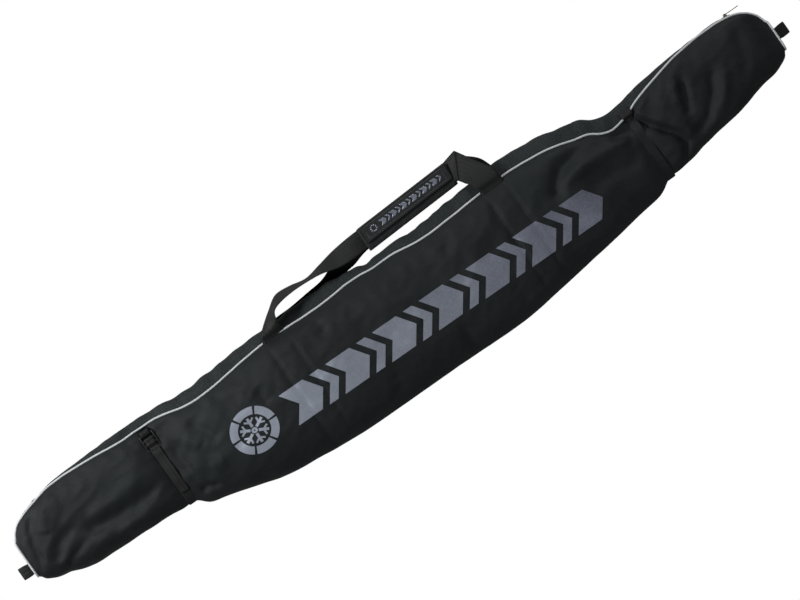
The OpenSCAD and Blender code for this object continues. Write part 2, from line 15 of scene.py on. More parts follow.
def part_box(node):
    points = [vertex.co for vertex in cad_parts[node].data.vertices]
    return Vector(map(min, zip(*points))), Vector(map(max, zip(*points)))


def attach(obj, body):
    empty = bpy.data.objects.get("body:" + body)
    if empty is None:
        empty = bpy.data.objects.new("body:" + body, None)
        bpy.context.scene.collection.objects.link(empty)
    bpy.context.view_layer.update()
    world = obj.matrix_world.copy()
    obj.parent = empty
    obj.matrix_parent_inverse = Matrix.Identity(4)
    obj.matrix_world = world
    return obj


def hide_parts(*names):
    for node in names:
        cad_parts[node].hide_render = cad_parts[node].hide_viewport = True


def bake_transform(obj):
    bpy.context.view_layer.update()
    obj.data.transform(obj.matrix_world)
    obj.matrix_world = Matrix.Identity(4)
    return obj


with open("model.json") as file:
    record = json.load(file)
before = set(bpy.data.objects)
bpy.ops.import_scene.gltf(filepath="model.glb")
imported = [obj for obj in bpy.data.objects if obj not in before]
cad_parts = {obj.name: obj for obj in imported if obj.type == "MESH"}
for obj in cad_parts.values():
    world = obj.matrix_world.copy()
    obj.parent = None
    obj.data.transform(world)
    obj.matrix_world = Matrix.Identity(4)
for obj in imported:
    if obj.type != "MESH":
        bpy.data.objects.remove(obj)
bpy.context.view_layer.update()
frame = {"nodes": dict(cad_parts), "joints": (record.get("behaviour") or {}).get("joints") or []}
MM = 0.001


# ---------------------------------------------------------------- sizes from the frame
def node_box(node):
    """The lowest and highest corner of a node of the frame, in millimetres."""
    low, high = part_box(node)
    return np.array(low) / MM, np.array(high) / MM


HALF = node_box("back_panel")[1][0]
grip_low, grip_high = node_box("grip_sleeve")
teeth_low, teeth_high = node_box("zip_teeth_back")
tape_low, tape_high = node_box("zip_tape_back")
FLAP_END = node_box("front_panel_flap")[1][0]
strap_low, strap_high = node_box("tail_strap")
tab_low, tab_high = node_box("tip_strap_tab")
loop_boxes = {side: node_box(node) for side, node in ((-1, "tail_loop"), (1, "tip_loop"))}
joints = {j["name"]: j for j in frame["joints"]}
mouth_axis = np.array(joints["mouth_open"]["pos_m"]) / MM
ZIP_Y = tape_high[1]
ZIP_Z = teeth_high[2] + 0.65
TAPE_W = 11
TAIL_STRAP_X = (strap_low[0] + strap_high[0]) / 2
TIP_STRAP_X = (tab_low[0] + tab_high[0]) / 2
STRAP_W = strap_high[0] - strap_low[0]
FOOT_TAIL_X, FOOT_TIP_X = -237, 257
HANDLE_W = 50
PIPE_R = 2.0
WALL = 1.6


# ---------------------------------------------------------------- shape of the stuffed body
def along(knots, x):
    """Smooth curve through [place, value] knots."""
    k = np.array(knots, float)
    slope = np.zeros(len(k))
    slope[1:-1] = (k[2:, 1] - k[:-2, 1]) / (k[2:, 0] - k[:-2, 0])
    x = np.clip(x, k[0, 0], k[-1, 0])
    i = np.clip(np.searchsorted(k[:, 0], x, "right") - 1, 0, len(k) - 2)
    h = k[i + 1, 0] - k[i, 0]
    t = (x - k[i, 0]) / h
    return (
        k[i, 1] * (2 * t**3 - 3 * t**2 + 1)
        + k[i + 1, 1] * (3 * t**2 - 2 * t**3)
        + h * (slope[i] * (t**3 - 2 * t**2 + t) + slope[i + 1] * (t**3 - t**2))
    )


def smooth(t):
    """A soft step from 0 to 1."""
    t = np.clip(t, 0, 1)
    return t * t * (3 - 2 * t)


# Knots of (x, value): the upper and lower outline, the height of the front and how far below
# the upper outline the seams lie
TOP_EDGE = [
    (-HALF, 55), (-852, 66), (-840, 78), (-820, 88), (-790, 97), (-750, 106), (-680, 110), (-570, 112),
    (-500, 109), (-450, 103), (-395, 103), (-300, 111), (-240, 113), (-140, 115), (-80, 115), (-42, 110),
    (-12, 104), (45, 106), (100, 105), (160, 110), (222, 116), (300, 121), (376, 115), (432, 102),
    (461, 95), (484, 81), (506, 75), (545, 77), (572, 83), (600, 88), (680, 97), (770, 102), (812, 97),
    (838, 84), (852, 68), (HALF, 50),
]
LOW_EDGE = [
    (-HALF, -28), (-852, -38), (-835, -48), (-808, -57), (-780, -66), (-740, -72), (-600, -75), (-560, -79),
    (-536, -85), (-515, -98), (-489, -106), (-450, -117), (-376, -139), (-300, -149), (-190, -157),
    (0, -158), (170, -158), (263, -147), (376, -132), (450, -121), (505, -111), (535, -99), (560, -92),
    (600, -87), (640, -79), (714, -66), (790, -50), (826, -43), (846, -35), (854, -28), (HALF, -18),
]
DEPTH = [
    (-HALF, 56), (-820, 60), (-700, 66), (-600, 70), (TAIL_STRAP_X, 70), (-480, 84), (-380, 98),
    (-200, 106), (0, 107), (200, 106), (380, 98), (470, 84), (TIP_STRAP_X, 70), (620, 70), (720, 65),
    (820, 59), (HALF, 54),
]
SEAM_INSET = [
    (-HALF, 5), (-730, 5.5), (-650, 12), (-590, 19), (-550, 18.5), (-510, 18.5), (-430, 26), (-340, 25),
    (-250, 23), (-120, 27), (0, 15), (80, 23), (200, 28), (380, 31), (500, 31), (560, 21), (620, 13),
    (700, 5), (HALF, 5),
]
SINK = 2  # the oval reaches this far under the base, and is cut flat there


def power_at(x):
    """How square the section is: rounder in the middle, squarer towards the ends."""
    return 2.4 + 2.0 * smooth((abs(x) - 500) / 230)


def section(x):
    """The ring of the section at x: one array of [y, z] points for each cloth, in order."""
    top, low, depth = along(TOP_EDGE, x), along(LOW_EDGE, x), along(DEPTH, x)
    wide, mid_y = (top - low) / 2, (top + low) / 2
    deep, mid_z = (depth + SINK) / 2, (depth - SINK) / 2
    n = power_at(x)
    seam = top - along(SEAM_INSET, x)

    def oval(a):
        c, s = np.cos(a), np.sin(a)
        y = mid_y + wide * np.sign(c) * np.abs(c) ** (2 / n)
        z = mid_z + deep * np.sign(s) * np.abs(s) ** (2 / n)
        return np.stack([y, np.maximum(z, 0)], 1)

    q = np.clip((seam - mid_y) / wide, -1, 1)
    a_seam = math.acos(abs(q) ** (n / 2))
    front = even(oval(np.linspace(a_seam, math.pi, 160)), FRONT_N)
    back = even(oval(np.linspace(math.pi, 2 * math.pi - a_seam, 160)), BACK_N)
    zip_y = min(ZIP_Y, top - 1.5)
    upper = puffed([zip_y, ZIP_Z + TAPE_W], front[0], top, GUSSET_N)
    lower = puffed([zip_y, ZIP_Z - TAPE_W], back[-1], top, GUSSET_N)[::-1]
    tape = np.linspace(lower[-1], upper[0], TAPE_N + 1)
    return upper, front, back, lower, tape


def lengths(line):
    """How far along a line each of its points lies."""
    return np.concatenate([[0], np.cumsum(np.linalg.norm(np.diff(line, axis=0), axis=1))])


def sampled(line, step, at):
    """The values of a line at some distances, when its own points lie at the distances in step."""
    return np.stack([np.interp(at, step, line[:, k]) for k in range(line.shape[1])], 1)


def normed(n):
    """The vectors, made one long."""
    return n / np.maximum(np.linalg.norm(n, axis=-1, keepdims=True), 1e-9)


def even(line, cells):
    """The line again, with evenly spaced points."""
    step = lengths(line)
    return sampled(line, step, np.linspace(0, step[-1], cells + 1))


def puffed(start, end, reach, cells):
    """Gusset cloth from the zip to the seam, swelling out to the top edge."""
    start, end = np.array(start), np.array(end)
    out = (reach - 0.125 * (start[0] + end[0])) / 0.75
    rise = end[1] - start[1]
    a = np.array([out, start[1] + 0.1 * rise])
    b = np.array([out, start[1] + 0.8 * rise])
    t = np.linspace(0, 1, 60)[:, None]
    line = (1 - t) ** 3 * start + 3 * (1 - t) ** 2 * t * a + 3 * (1 - t) * t**2 * b + t**3 * end
    return even(line, cells)


# Cells of the ring in each gusset, front, back and zip gap, and the places along the bag of the rings
GUSSET_N, FRONT_N, BACK_N, TAPE_N = 7, 40, 36, 2
AT_END = np.array([0, 1.5, 4, 8, 13])
STATIONS = np.concatenate([-HALF + AT_END, np.linspace(-HALF + 20, HALF - 20, 226), HALF - AT_END[::-1]])
I_SEAM = GUSSET_N
I_FOLD = I_SEAM + FRONT_N
I_BACK = I_FOLD + BACK_N
I_TAPE = I_BACK + GUSSET_N

# Folds of the front cloth: the line it runs along, how deep it is (below zero is a valley) and its width
FOLDS = [
    ([(342, -8), (352, 14), (378, 40), (440, 50)], -9, 13),
    ([(360, 16), (420, 17), (480, 15), (524, 13)], 7, 12),
    ([(395, -20), (460, -24), (520, -30)], -4, 16),
    ([(546, 56), (550, 33), (574, 0), (598, -29), (606, -54), (588, -78), (556, -96)], -6.5, 8),
    ([(560, 60), (568, 38), (592, 8), (618, -24), (628, -54)], 7, 11),
    ([(536, 30), (556, 0), (578, -34), (576, -62)], 3, 12),
    ([(FOOT_TAIL_X - 22, 84), (FOOT_TAIL_X - 22, -150)], -1.8, 5),
    ([(FOOT_TAIL_X + 22, 84), (FOOT_TAIL_X + 22, -150)], -1.8, 5),
    ([(FOOT_TIP_X - 22, 84), (FOOT_TIP_X - 22, -150)], -1.8, 5),
    ([(FOOT_TIP_X + 22, 84), (FOOT_TIP_X + 22, -150)], -1.8, 5),
    ([(668, 56), (654, 20), (640, -18)], -6, 9),
    ([(648, 50), (632, 10)], 4, 10),
    ([(722, 34), (700, -4), (666, -40), (630, -50)], -6, 10),
    ([(742, 20), (724, -10), (690, -44)], 4, 10),
    ([(800, 70), (792, 30), (770, -10)], -3, 12),
    ([(470, 60), (505, 30), (540, 24)], -5, 12),
    ([(-562, -13), (-632, -20), (-700, -16), (-740, -6)], -6, 15),
    ([(-590, 14), (-660, 8), (-720, 8)], 4, 16),
    ([(-600, -46), (-680, -50), (-740, -40)], 4, 15),
    ([(-750, 16), (-790, -2), (-817, -26)], -5, 12),
    ([(-735, -20), (-780, -34), (-800, -48)], -4, 10),
    ([(-801, 76), (-822, 50), (-834, 20), (-840, -18)], -4, 8),
    ([(-780, 60), (-800, 30)], 3, 12),
    ([(-514, 52), (-512, 10), (-510, -40), (-512, -80)], -4, 9),
    ([(-462, 52), (-438, 14), (-430, -10)], -4, 11),
    ([(-486, 30), (-462, 0)], 4, 12),
    ([(-478, -84), (-500, -70), (-516, -76)], -6, 9),
    ([(-440, -50), (-470, -40)], 3, 14),
    ([(-322, 26), (-314, -10)], -3, 9),
    ([(-400, 66), (-380, 40), (-350, 30)], -3, 12),
    ([(-160, 70), (-150, 40)], -2.5, 10),
    ([(140, 72), (128, 44), (110, 30)], -3, 12),
    ([(70, -96), (60, -130), (52, -150)], -3, 12),
    ([(180, -90), (200, -130)], -2.5, 14),
    ([(-90, -100), (-100, -140)], -2.5, 14),
    ([(300, -90), (330, -120)], -3, 12),
    ([(236, -40), (230, 20), (236, 60)], -2, 9),
]


def line_distance(x, y, line):
    """How far points are from a line, and how far along it they lie, from 0 to 1."""
    best, where = np.full(x.shape, 1e9), np.zeros(x.shape)
    for k in range(len(line) - 1):
        a, b = np.array(line[k], float), np.array(line[k + 1], float)
        d = b - a
        t = np.clip(((x - a[0]) * d[0] + (y - a[1]) * d[1]) / (d @ d), 0, 1)
        r = np.hypot(x - a[0] - t * d[0], y - a[1] - t * d[1])
        nearer = r < best
        best = np.where(nearer, r, best)
        where = np.where(nearer, (k + t) / (len(line) - 1), where)
    return best, where


def waves(x, y, seed, size, count=9):
    """A calm, uneven swell made of a few sine waves, the same each time."""
    r = np.random.default_rng(seed)
    total = np.zeros(np.shape(x))
    for _ in range(count):
        a, p = r.uniform(0, 2 * math.pi, 2)
        f = 2 * math.pi / (size * r.uniform(0.6, 1.6))
        total = total + np.sin(f * (x * math.cos(a) + y * math.sin(a)) + p)
    return total / math.sqrt(count)


def ring_normals(v):
    """Outward normals of the section, from its own neighbours round the ring."""
    t = np.roll(v, -1, axis=1) - np.roll(v, 1, axis=1)
    s = np.gradient(v, axis=0)
    return normed(np.cross(t, s))


FOLD_GAIN = 1.1
SWELL, SWELL_SIZE = 1.8, 150
PUCKER, PUCKER_PITCH = 0.7, 41
STRAP_DIP, STRAP_DIP_W = 5.0, 15
RESTS = 1.2  # cloth of the base this close to the floor lies on it


def fold_lift(x, y):
    """How far the folds lift the cloth at points (x, y)."""
    lift = np.zeros(x.shape)
    for line, height, width in FOLDS:
        r, t = line_distance(x, y, line)
        ends = smooth(np.minimum(t, 1 - t) * 4 + 0.25)
        lift += height * np.exp(-((r / width) ** 2)) * ends
    return lift


def body_grid():
    """Stations by ring points of the stuffed body, with its sewn shape and main folds."""
    rows = []
    for x in STATIONS:
        upper, front, back, lower, tape = section(x)
        ring = np.concatenate([upper[:-1], front[:-1], back[:-1], lower[:-1], tape[:-1]])
        rows.append(np.column_stack([np.full(len(ring), x), ring]))
    v = np.array(rows)
    n = ring_normals(v)
    n *= np.sign(n[len(v) // 2, I_SEAM + 20, 2])
    x, y = v[..., 0], v[..., 1]
    arc = np.cumsum(np.linalg.norm(np.diff(v, axis=1, prepend=v[:, :1]), axis=2), axis=1)
    crinkle = 1.2 * (0.6 - np.abs(waves(x, arc, 11, 90))) + 0.7 * (0.6 - np.abs(waves(x, arc, 12, 45)))
    lift = fold_lift(x, y) * FOLD_GAIN + SWELL * waves(x, y, 3, SWELL_SIZE) + crinkle
    ring_i = np.arange(v.shape[1])[None, :]
    from_seam = np.clip((ring_i - I_SEAM) / 4, 0, 1) * np.clip((I_FOLD + 1 - ring_i) / 7, 0.12, 1)
    end_calm = smooth((HALF - np.abs(x)) / 30)
    front_lift = lift * smooth(from_seam) * end_calm
    gusset = np.where(ring_i < I_SEAM, np.sin(math.pi * np.clip(ring_i / I_SEAM, 0, 1)), 0)
    bunched = PUCKER * np.sin(2 * math.pi * x / PUCKER_PITCH + 2 * waves(x, 0 * x, 8, 200))
    pucker = (bunched + 0.9 * waves(x, y, 9, 70)) * smooth((780 - np.abs(x)) / 260)
    strap = np.zeros(x.shape)
    for strap_x in (TAIL_STRAP_X, TIP_STRAP_X):
        strap -= STRAP_DIP * np.exp(-(((x - strap_x) / STRAP_DIP_W) ** 2))
    on_cloth = (ring_i > I_SEAM) & (ring_i <= I_FOLD + 3)
    v = v + n * (front_lift + gusset * pucker * end_calm + np.where(on_cloth, strap, 0))[..., None]
    v[..., 2] = np.maximum(v[..., 2], 0)
    base = v[:, I_FOLD + 4 : I_BACK - 3, 2]
    base[base < RESTS] = 0
    return v


# ---------------------------------------------------------------- mesh helpers
def placed(name, data):
    """A new object of the scene with this data."""
    obj = bpy.data.objects.new(name, data)
    bpy.context.scene.collection.objects.link(obj)
    return obj


def points_of(mesh):
    """The places of a mesh's vertices, in metres."""
    co = np.zeros(len(mesh.vertices) * 3)
    mesh.vertices.foreach_get("co", co)
    return co.reshape(-1, 3)


def make(name, points, faces, uv=None, smooth_shade=True):
    """A mesh object at the origin, from points in millimetres."""
    mesh = bpy.data.meshes.new(name)
    mesh.from_pydata((np.asarray(points, float) * MM).tolist(), [], faces)
    if uv is not None:
        layer = mesh.uv_layers.new(name="cloth")
        loops = np.zeros(len(mesh.loops), np.int32)
        mesh.loops.foreach_get("vertex_index", loops)
        layer.data.foreach_set("uv", np.asarray(uv, np.float32)[loops].ravel())
    if smooth_shade:
        mesh.shade_smooth()
    mesh.update()
    return placed(name, mesh)


def quads(rows, cols, closed=False):
    """Faces of a grid of rows by cols points; closed joins the last column to the first."""
    faces = []
    last = cols if closed else cols - 1
    for s in range(rows - 1):
        for i in range(last):
            j = (i + 1) % cols
            faces.append((s * cols + i, s * cols + j, (s + 1) * cols + j, (s + 1) * cols + i))
    return faces


def shell(name, outer, inner, uv=None):
    """A closed sheet between two grids of the same size, outer on the outside."""
    rows, cols = outer.shape[:2]
    total = rows * cols
    top = quads(rows, cols)
    faces = [f[::-1] for f in top] + [tuple(total + i for i in f) for f in top]
    rim = (
        [(0, i) for i in range(cols)] + [(s, cols - 1) for s in range(1, rows)]
        + [(rows - 1, i) for i in range(cols - 2, -1, -1)] + [(s, 0) for s in range(rows - 2, 0, -1)]
    )
    for k, (s, i) in enumerate(rim):
        s2, i2 = rim[(k + 1) % len(rim)]
        a, b = s * cols + i, s2 * cols + i2
        faces.append((a, b, total + b, total + a))
    points = np.concatenate([outer.reshape(-1, 3), inner.reshape(-1, 3)])
    if uv is not None:
        uv = np.concatenate([uv.reshape(-1, 2), uv.reshape(-1, 2)])
    obj = make(name, points, faces, uv)
    inside = np.zeros(len(faces), np.int32)
    inside[len(top) : 2 * len(top)] = 1
    obj.data.polygons.foreach_set("material_index", inside)
    fix_sides(obj)
    return obj


def fix_sides(obj):
    """Turns the faces of a closed mesh outwards, by the sign of its volume."""
    mesh = obj.data
    mesh.calc_loop_triangles()
    tri = np.zeros(len(mesh.loop_triangles) * 3, np.int32)
    mesh.loop_triangles.foreach_get("vertices", tri)
    p = points_of(mesh)[tri.reshape(-1, 3)]
    if np.einsum("ij,ij->i", p[:, 0], np.cross(p[:, 1], p[:, 2])).sum() < 0:
        mesh.flip_normals()


def arc_uv(grid):
    """UV in metres: along the bag, and round the section from its first point."""
    step = np.linalg.norm(np.diff(grid, axis=1), axis=2)
    arc = np.concatenate([np.zeros((len(grid), 1)), np.cumsum(step, axis=1)], axis=1)
    return np.stack([grid[..., 0] * MM, arc * MM], axis=2)


def finer(grid):
    """The grid with a cubic point between each two, both ways."""
    for axis in (0, 1):
        g = np.moveaxis(grid, axis, 0)
        pad = np.concatenate([2 * g[:1] - g[1:2], g, 2 * g[-1:] - g[-2:-1]])
        mid = (9 * (pad[1:-2] + pad[2:-1]) - pad[:-3] - pad[3:]) / 16
        out = np.empty((2 * len(g) - 1,) + g.shape[1:])
        out[::2], out[1::2] = g, mid
        grid = np.moveaxis(out, 0, axis)
    return grid


def frames(path):
    """Tangent and two normals at each point of a path, turning as little as it can."""
    t = normed(np.gradient(path, axis=0))
    u = normed(np.cross([0, 0, 1.0], t))
    return t, u, np.cross(t, u)


def tube(name, path, radius, sides=12):
    """A round closed cord along a path, with UV in metres round and along it."""
    t, u, v = frames(path)
    a = np.linspace(0, 2 * math.pi, sides + 1)
    ring = np.cos(a)[None, :, None] * u[:, None] + np.sin(a)[None, :, None] * v[:, None]
    grid = path[:, None] + radius * ring
    rows, cols = len(path), sides + 1
    uv = np.stack([np.tile(a * radius * MM, (rows, 1)), np.repeat(lengths(path)[:, None] * MM, cols, 1)], 2)
    faces = quads(rows, cols)
    faces += [tuple(range(sides)), tuple((rows - 1) * cols + i for i in range(sides))[::-1]]
    obj = make(name, grid.reshape(-1, 3), faces, uv.reshape(-1, 2))
    weld(obj)
    return obj


def weld(obj, distance=0.00001):
    """Merges doubles and turns all faces outwards."""
    bm = bmesh.new()
    bm.from_mesh(obj.data)
    bmesh.ops.remove_doubles(bm, verts=bm.verts, dist=distance)
    bmesh.ops.recalc_face_normals(bm, faces=bm.faces)
    bm.to_mesh(obj.data)
    bm.free()
    obj.data.update()


def spline(points, per=8):
    """A smooth line through points."""
    p = np.array(points, float)
    pad = np.concatenate([2 * p[:1] - p[1:2], p, 2 * p[-1:] - p[-2:-1]])
    out = []
    for i in range(len(p) - 1):
        a, b, c, d = pad[i : i + 4]
        for t in np.linspace(0, 1, per, endpoint=False):
            bend = (2 * a - 5 * b + 4 * c - d) * t**2
            twist = (3 * b - a - 3 * c + d) * t**3
            out.append(0.5 * (2 * b + (c - a) * t + bend + twist))
    out.append(p[-1])
    return np.array(out)


def ribbon(name, rows, thick=1.8, per=8, across=7, crown=0.0):
    """Webbing along rows of (middle, half width): a closed strip with round edges and UV in metres."""
    flat = np.array([list(m) + list(w) for m, w in rows], float)
    line = spline(flat, per) if per > 1 else flat
    mid, half = line[:, :3], line[:, 3:]
    up = normed(np.cross(half, np.gradient(mid, axis=0)))
    k = np.linspace(-1, 1, across)
    edge = np.sqrt(np.maximum(1 - np.abs(k) ** 14, 0.0)) * 0.5 * thick
    base = mid[:, None] + half[:, None] * k[None, :, None]
    arch = crown * (1 - k**2)
    outer = base + up[:, None] * (edge + arch)[None, :, None]
    inner = base + up[:, None] * (-edge + arch)[None, :, None]
    width = np.linalg.norm(half, axis=1)
    uv = np.stack([np.repeat(lengths(mid)[:, None] * MM, across, 1), k[None, :] * width[:, None] * MM], 2)
    obj = shell(name, outer, inner, uv)
    weld(obj)
    return obj


def joined(name, objs):
    """Several meshes as one piece."""
    bpy.ops.object.select_all(action="DESELECT")
    for o in objs:
        o.select_set(True)
    bpy.context.view_layer.objects.active = objs[0]
    bpy.ops.object.join()
    objs[0].name = name
    objs[0].data.name = name
    return objs[0]


def block(name, centre, size, bevel=1.0, segments=3):
    """A box with rounded edges."""
    bm = bmesh.new()
    bmesh.ops.create_cube(bm, size=1.0)
    for v in bm.verts:
        v.co = [centre[k] + v.co[k] * size[k] for k in range(3)]
    bmesh.ops.bevel(bm, geom=list(bm.edges), offset=bevel, segments=segments, profile=0.5, affect="EDGES")
    for v in bm.verts:
        v.co = v.co * MM
    mesh = bpy.data.meshes.new(name)
    bm.to_mesh(mesh)
    bm.free()
    mesh.shade_smooth()
    return placed(name, mesh)


def plate(name, outline, holes, thick, place, bevel=0.3):
    """A flat plate from an outline with holes in its own plane; place maps (a, b, c) to the bag's frame."""
    curve = bpy.data.curves.new(name, "CURVE")
    curve.dimensions = "2D"
    curve.fill_mode = "BOTH"
    curve.extrude = thick / 2 - bevel
    curve.bevel_depth = bevel
    curve.bevel_resolution = 2
    for line in [outline, *holes]:
        sp = curve.splines.new("POLY")
        sp.points.add(len(line) - 1)
        for q, (a, b) in zip(sp.points, line):
            q.co = (a, b, 0, 1)
        sp.use_cyclic_u = True
    temp = placed(name, curve)
    mesh = bpy.data.meshes.new_from_object(temp.evaluated_get(bpy.context.evaluated_depsgraph_get()))
    bpy.data.objects.remove(temp)
    for v in mesh.vertices:
        v.co = [c * MM for c in place(*v.co)]
    mesh.name = name
    obj = placed(name, mesh)
    weld(obj)
    return obj


def row_of(name, unit, spots, mat):
    """One piece of many copies of a small mesh, placed by geometry nodes at spots of (place, along, up)."""
    points = np.array([s[0] for s in spots], float)
    t = normed(np.array([s[1] for s in spots], float))
    up = np.array([s[2] for s in spots], float)
    side = normed(np.cross(up, t))
    up = np.cross(t, side)
    turn = np.arctan2(t[:, 1], t[:, 0])
    tilt = -np.arcsin(np.clip(t[:, 2], -1, 1))
    roll = np.arctan2(side[:, 2], up[:, 2])
    mesh = bpy.data.meshes.new(name)
    mesh.from_pydata((points * MM).tolist(), [], [])
    a = mesh.attributes.new("turn", "FLOAT_VECTOR", "POINT")
    a.data.foreach_set("vector", np.stack([roll, tilt, turn], 1).astype(np.float32).ravel())
    base = placed(name + "_spots", mesh)
    tree = placer()
    mod = base.modifiers.new("row", "NODES")
    mod.node_group = tree
    sockets = {i.name: i.identifier for i in tree.interface.items_tree if i.item_type == "SOCKET"}
    mod[sockets["Unit"]] = unit
    mod[sockets["Material"]] = mat
    bpy.context.view_layer.update()
    done = bpy.data.meshes.new_from_object(base.evaluated_get(bpy.context.evaluated_depsgraph_get()))
    bpy.data.objects.remove(base)
    done.name = name
    return placed(name, done)


def placer():
    """Geometry nodes: copies of Unit at each point, turned by the point's own attribute."""
    if "place_along" in bpy.data.node_groups:
        return bpy.data.node_groups["place_along"]
    g = bpy.data.node_groups.new("place_along", "GeometryNodeTree")
    g.interface.new_socket("Geometry", in_out="INPUT", socket_type="NodeSocketGeometry")
    g.interface.new_socket("Unit", in_out="INPUT", socket_type="NodeSocketObject")
    g.interface.new_socket("Material", in_out="INPUT", socket_type="NodeSocketMaterial")
    g.interface.new_socket("Geometry", in_out="OUTPUT", socket_type="NodeSocketGeometry")
    n, link = g.nodes, g.links.new
    gin, gout = n.new("NodeGroupInput"), n.new("NodeGroupOutput")
    info = n.new("GeometryNodeObjectInfo")
    inst = n.new("GeometryNodeInstanceOnPoints")
    turn = n.new("GeometryNodeInputNamedAttribute")
    turn.data_type = "FLOAT_VECTOR"
    turn.inputs["Name"].default_value = "turn"
    rot = n.new("FunctionNodeEulerToRotation")
    real = n.new("GeometryNodeRealizeInstances")
    mat = n.new("GeometryNodeSetMaterial")
    link(gin.outputs["Unit"], info.inputs["Object"])
    link(gin.outputs["Geometry"], inst.inputs["Points"])
    link(info.outputs["Geometry"], inst.inputs["Instance"])
    link(turn.outputs["Attribute"], rot.inputs[0])
    link(rot.outputs[0], inst.inputs["Rotation"])
    link(inst.outputs["Instances"], real.inputs["Geometry"])
    link(real.outputs["Geometry"], mat.inputs["Geometry"])
    link(gin.outputs["Material"], mat.inputs["Material"])
    link(mat.outputs["Geometry"], gout.inputs["Geometry"])
    return g


def thread_unit(length=3.2, radius=0.32):
    """One stitch: a short bowed thread lying on the cloth."""
    t = np.linspace(-1, 1, 7)
    path = np.stack([t * length / 2, 0 * t, radius * 0.9 * (1 - t**4) - 0.15], 1)
    unit = tube("stitch", path, radius, 6)
    bpy.context.scene.collection.objects.unlink(unit)
    return unit


def spots_on(path, up, pitch):
    """Places for stitches along a path, with the path's own up vectors."""
    step = lengths(path)
    at = np.arange(pitch / 2, step[-1], pitch)
    ahead = sampled(path, step, at + 1) - sampled(path, step, at - 1)
    return list(zip(sampled(path, step, at), ahead, sampled(up, step, at)))


def stitched(name, unit, spots, thread, body=None):
    """A row of stitches as one piece, moving with a body if one is given."""
    row = row_of(name, unit, spots, MAT[thread])
    if body:
        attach(row, body)
    return row


# ---------------------------------------------------------------- materials
def group(name, build, inputs, outputs):
    """A shader node group with these inputs and outputs, filled by build."""
    g = bpy.data.node_groups.new(name, "ShaderNodeTree")
    for n, kind, value in inputs:
        s = g.interface.new_socket(n, in_out="INPUT", socket_type=kind)
        if value is not None:
            s.default_value = value
    for n, kind in outputs:
        g.interface.new_socket(n, in_out="OUTPUT", socket_type=kind)
    gin, gout = g.nodes.new("NodeGroupInput"), g.nodes.new("NodeGroupOutput")
    build(g, gin, gout)
    return g


def math_node(g, op, a, b=None, clamp=False):
    """The result of one sum of two numbers or sockets."""
    n = g.nodes.new("ShaderNodeMath")
    n.operation = op
    n.use_clamp = clamp
    for k, v in enumerate((a, b)):
        if v is None:
            continue
        if isinstance(v, (int, float)):
            n.inputs[k].default_value = v
        else:
            g.links.new(v, n.inputs[k])
    return n.outputs[0]


def times(g, a, b, clamp=False):
    """Two numbers or sockets, one by the other."""
    return math_node(g, "MULTIPLY", a, b, clamp)


def plus(g, a, b, clamp=False):
    """Two numbers or sockets, added."""
    return math_node(g, "ADD", a, b, clamp)


def cloth_uv(g):
    """The cloth's own UV, in metres."""
    uv = g.nodes.new("ShaderNodeUVMap")
    uv.uv_map = "cloth"
    return uv.outputs[0]


def split(g, place):
    """The parts of a place, each as a socket."""
    sep = g.nodes.new("ShaderNodeSeparateXYZ")
    g.links.new(place, sep.inputs[0])
    return sep.outputs


def build_weave(g, gin, gout):
    """Crossing threads: how high the cloth stands, and where the thread along it lies on top."""
    place = split(g, cloth_uv(g))
    count = math_node(g, "DIVIDE", 2 * math.pi, gin.outputs["Thread"])
    su = math_node(g, "SINE", times(g, place["X"], count))
    sv = math_node(g, "SINE", times(g, place["Y"], count))
    a, b = math_node(g, "ABSOLUTE", su), math_node(g, "ABSOLUTE", sv)
    up = math_node(g, "GREATER_THAN", times(g, su, sv), 0.0)
    down = math_node(g, "SUBTRACT", 1.0, up)
    height = plus(g, times(g, a, up), times(g, b, down))
    g.links.new(height, gout.inputs["Height"])
    g.links.new(up, gout.inputs["Thread over"])


def build_mottle(g, gin, gout):
    """Uneven tone from use and from the light catching the cloth, in two sizes."""
    where = g.nodes.new("ShaderNodeTexCoord")
    big, small = g.nodes.new("ShaderNodeTexNoise"), g.nodes.new("ShaderNodeTexNoise")
    g.links.new(where.outputs["Object"], big.inputs["Vector"])
    g.links.new(where.outputs["Object"], small.inputs["Vector"])
    g.links.new(gin.outputs["Scale"], big.inputs["Scale"])
    g.links.new(times(g, gin.outputs["Scale"], 22.0), small.inputs["Scale"])
    big.inputs["Detail"].default_value = 4
    small.inputs["Detail"].default_value = 2
    g.links.new(plus(g, times(g, big.outputs[0], 0.6), times(g, small.outputs[0], 0.4)), gout.inputs["Value"])


F = "NodeSocketFloat"
weave_group = group("weave", build_weave, [("Thread", F, 0.0012)], [("Height", F), ("Thread over", F)])
mottle_group = group("mottle", build_mottle, [("Scale", F, 6.0)], [("Value", F)])


def material(name, rough=0.6, metal=0.0, spec=0.4, coat=0.0):
    """A new material, with its node tree and its shader."""
    m = bpy.data.materials.new(name)
    m.use_nodes = True
    b = m.node_tree.nodes["Principled BSDF"]
    b.inputs["Roughness"].default_value = rough
    b.inputs["Metallic"].default_value = metal
    b.inputs["Specular IOR Level"].default_value = spec
    b.inputs["Coat Weight"].default_value = coat
    return m, m.node_tree, b


def srgb(r, g, b):
    """A screen colour of 0 to 255, as Blender's linear colour."""
    linear = []
    for c in (r / 255, g / 255, b / 255):
        linear.append(c / 12.92 if c <= 0.04045 else ((c + 0.055) / 1.055) ** 2.4)
    return (*linear, 1)


def tone(tree, socket, factor, dark, light):
    """A colour between dark and light, by factor, into the socket."""
    mix = tree.nodes.new("ShaderNodeMix")
    mix.data_type = "RGBA"
    mix.inputs["A"].default_value = dark
    mix.inputs["B"].default_value = light
    tree.links.new(factor, mix.inputs["Factor"])
    tree.links.new(mix.outputs["Result"], socket)
    return mix


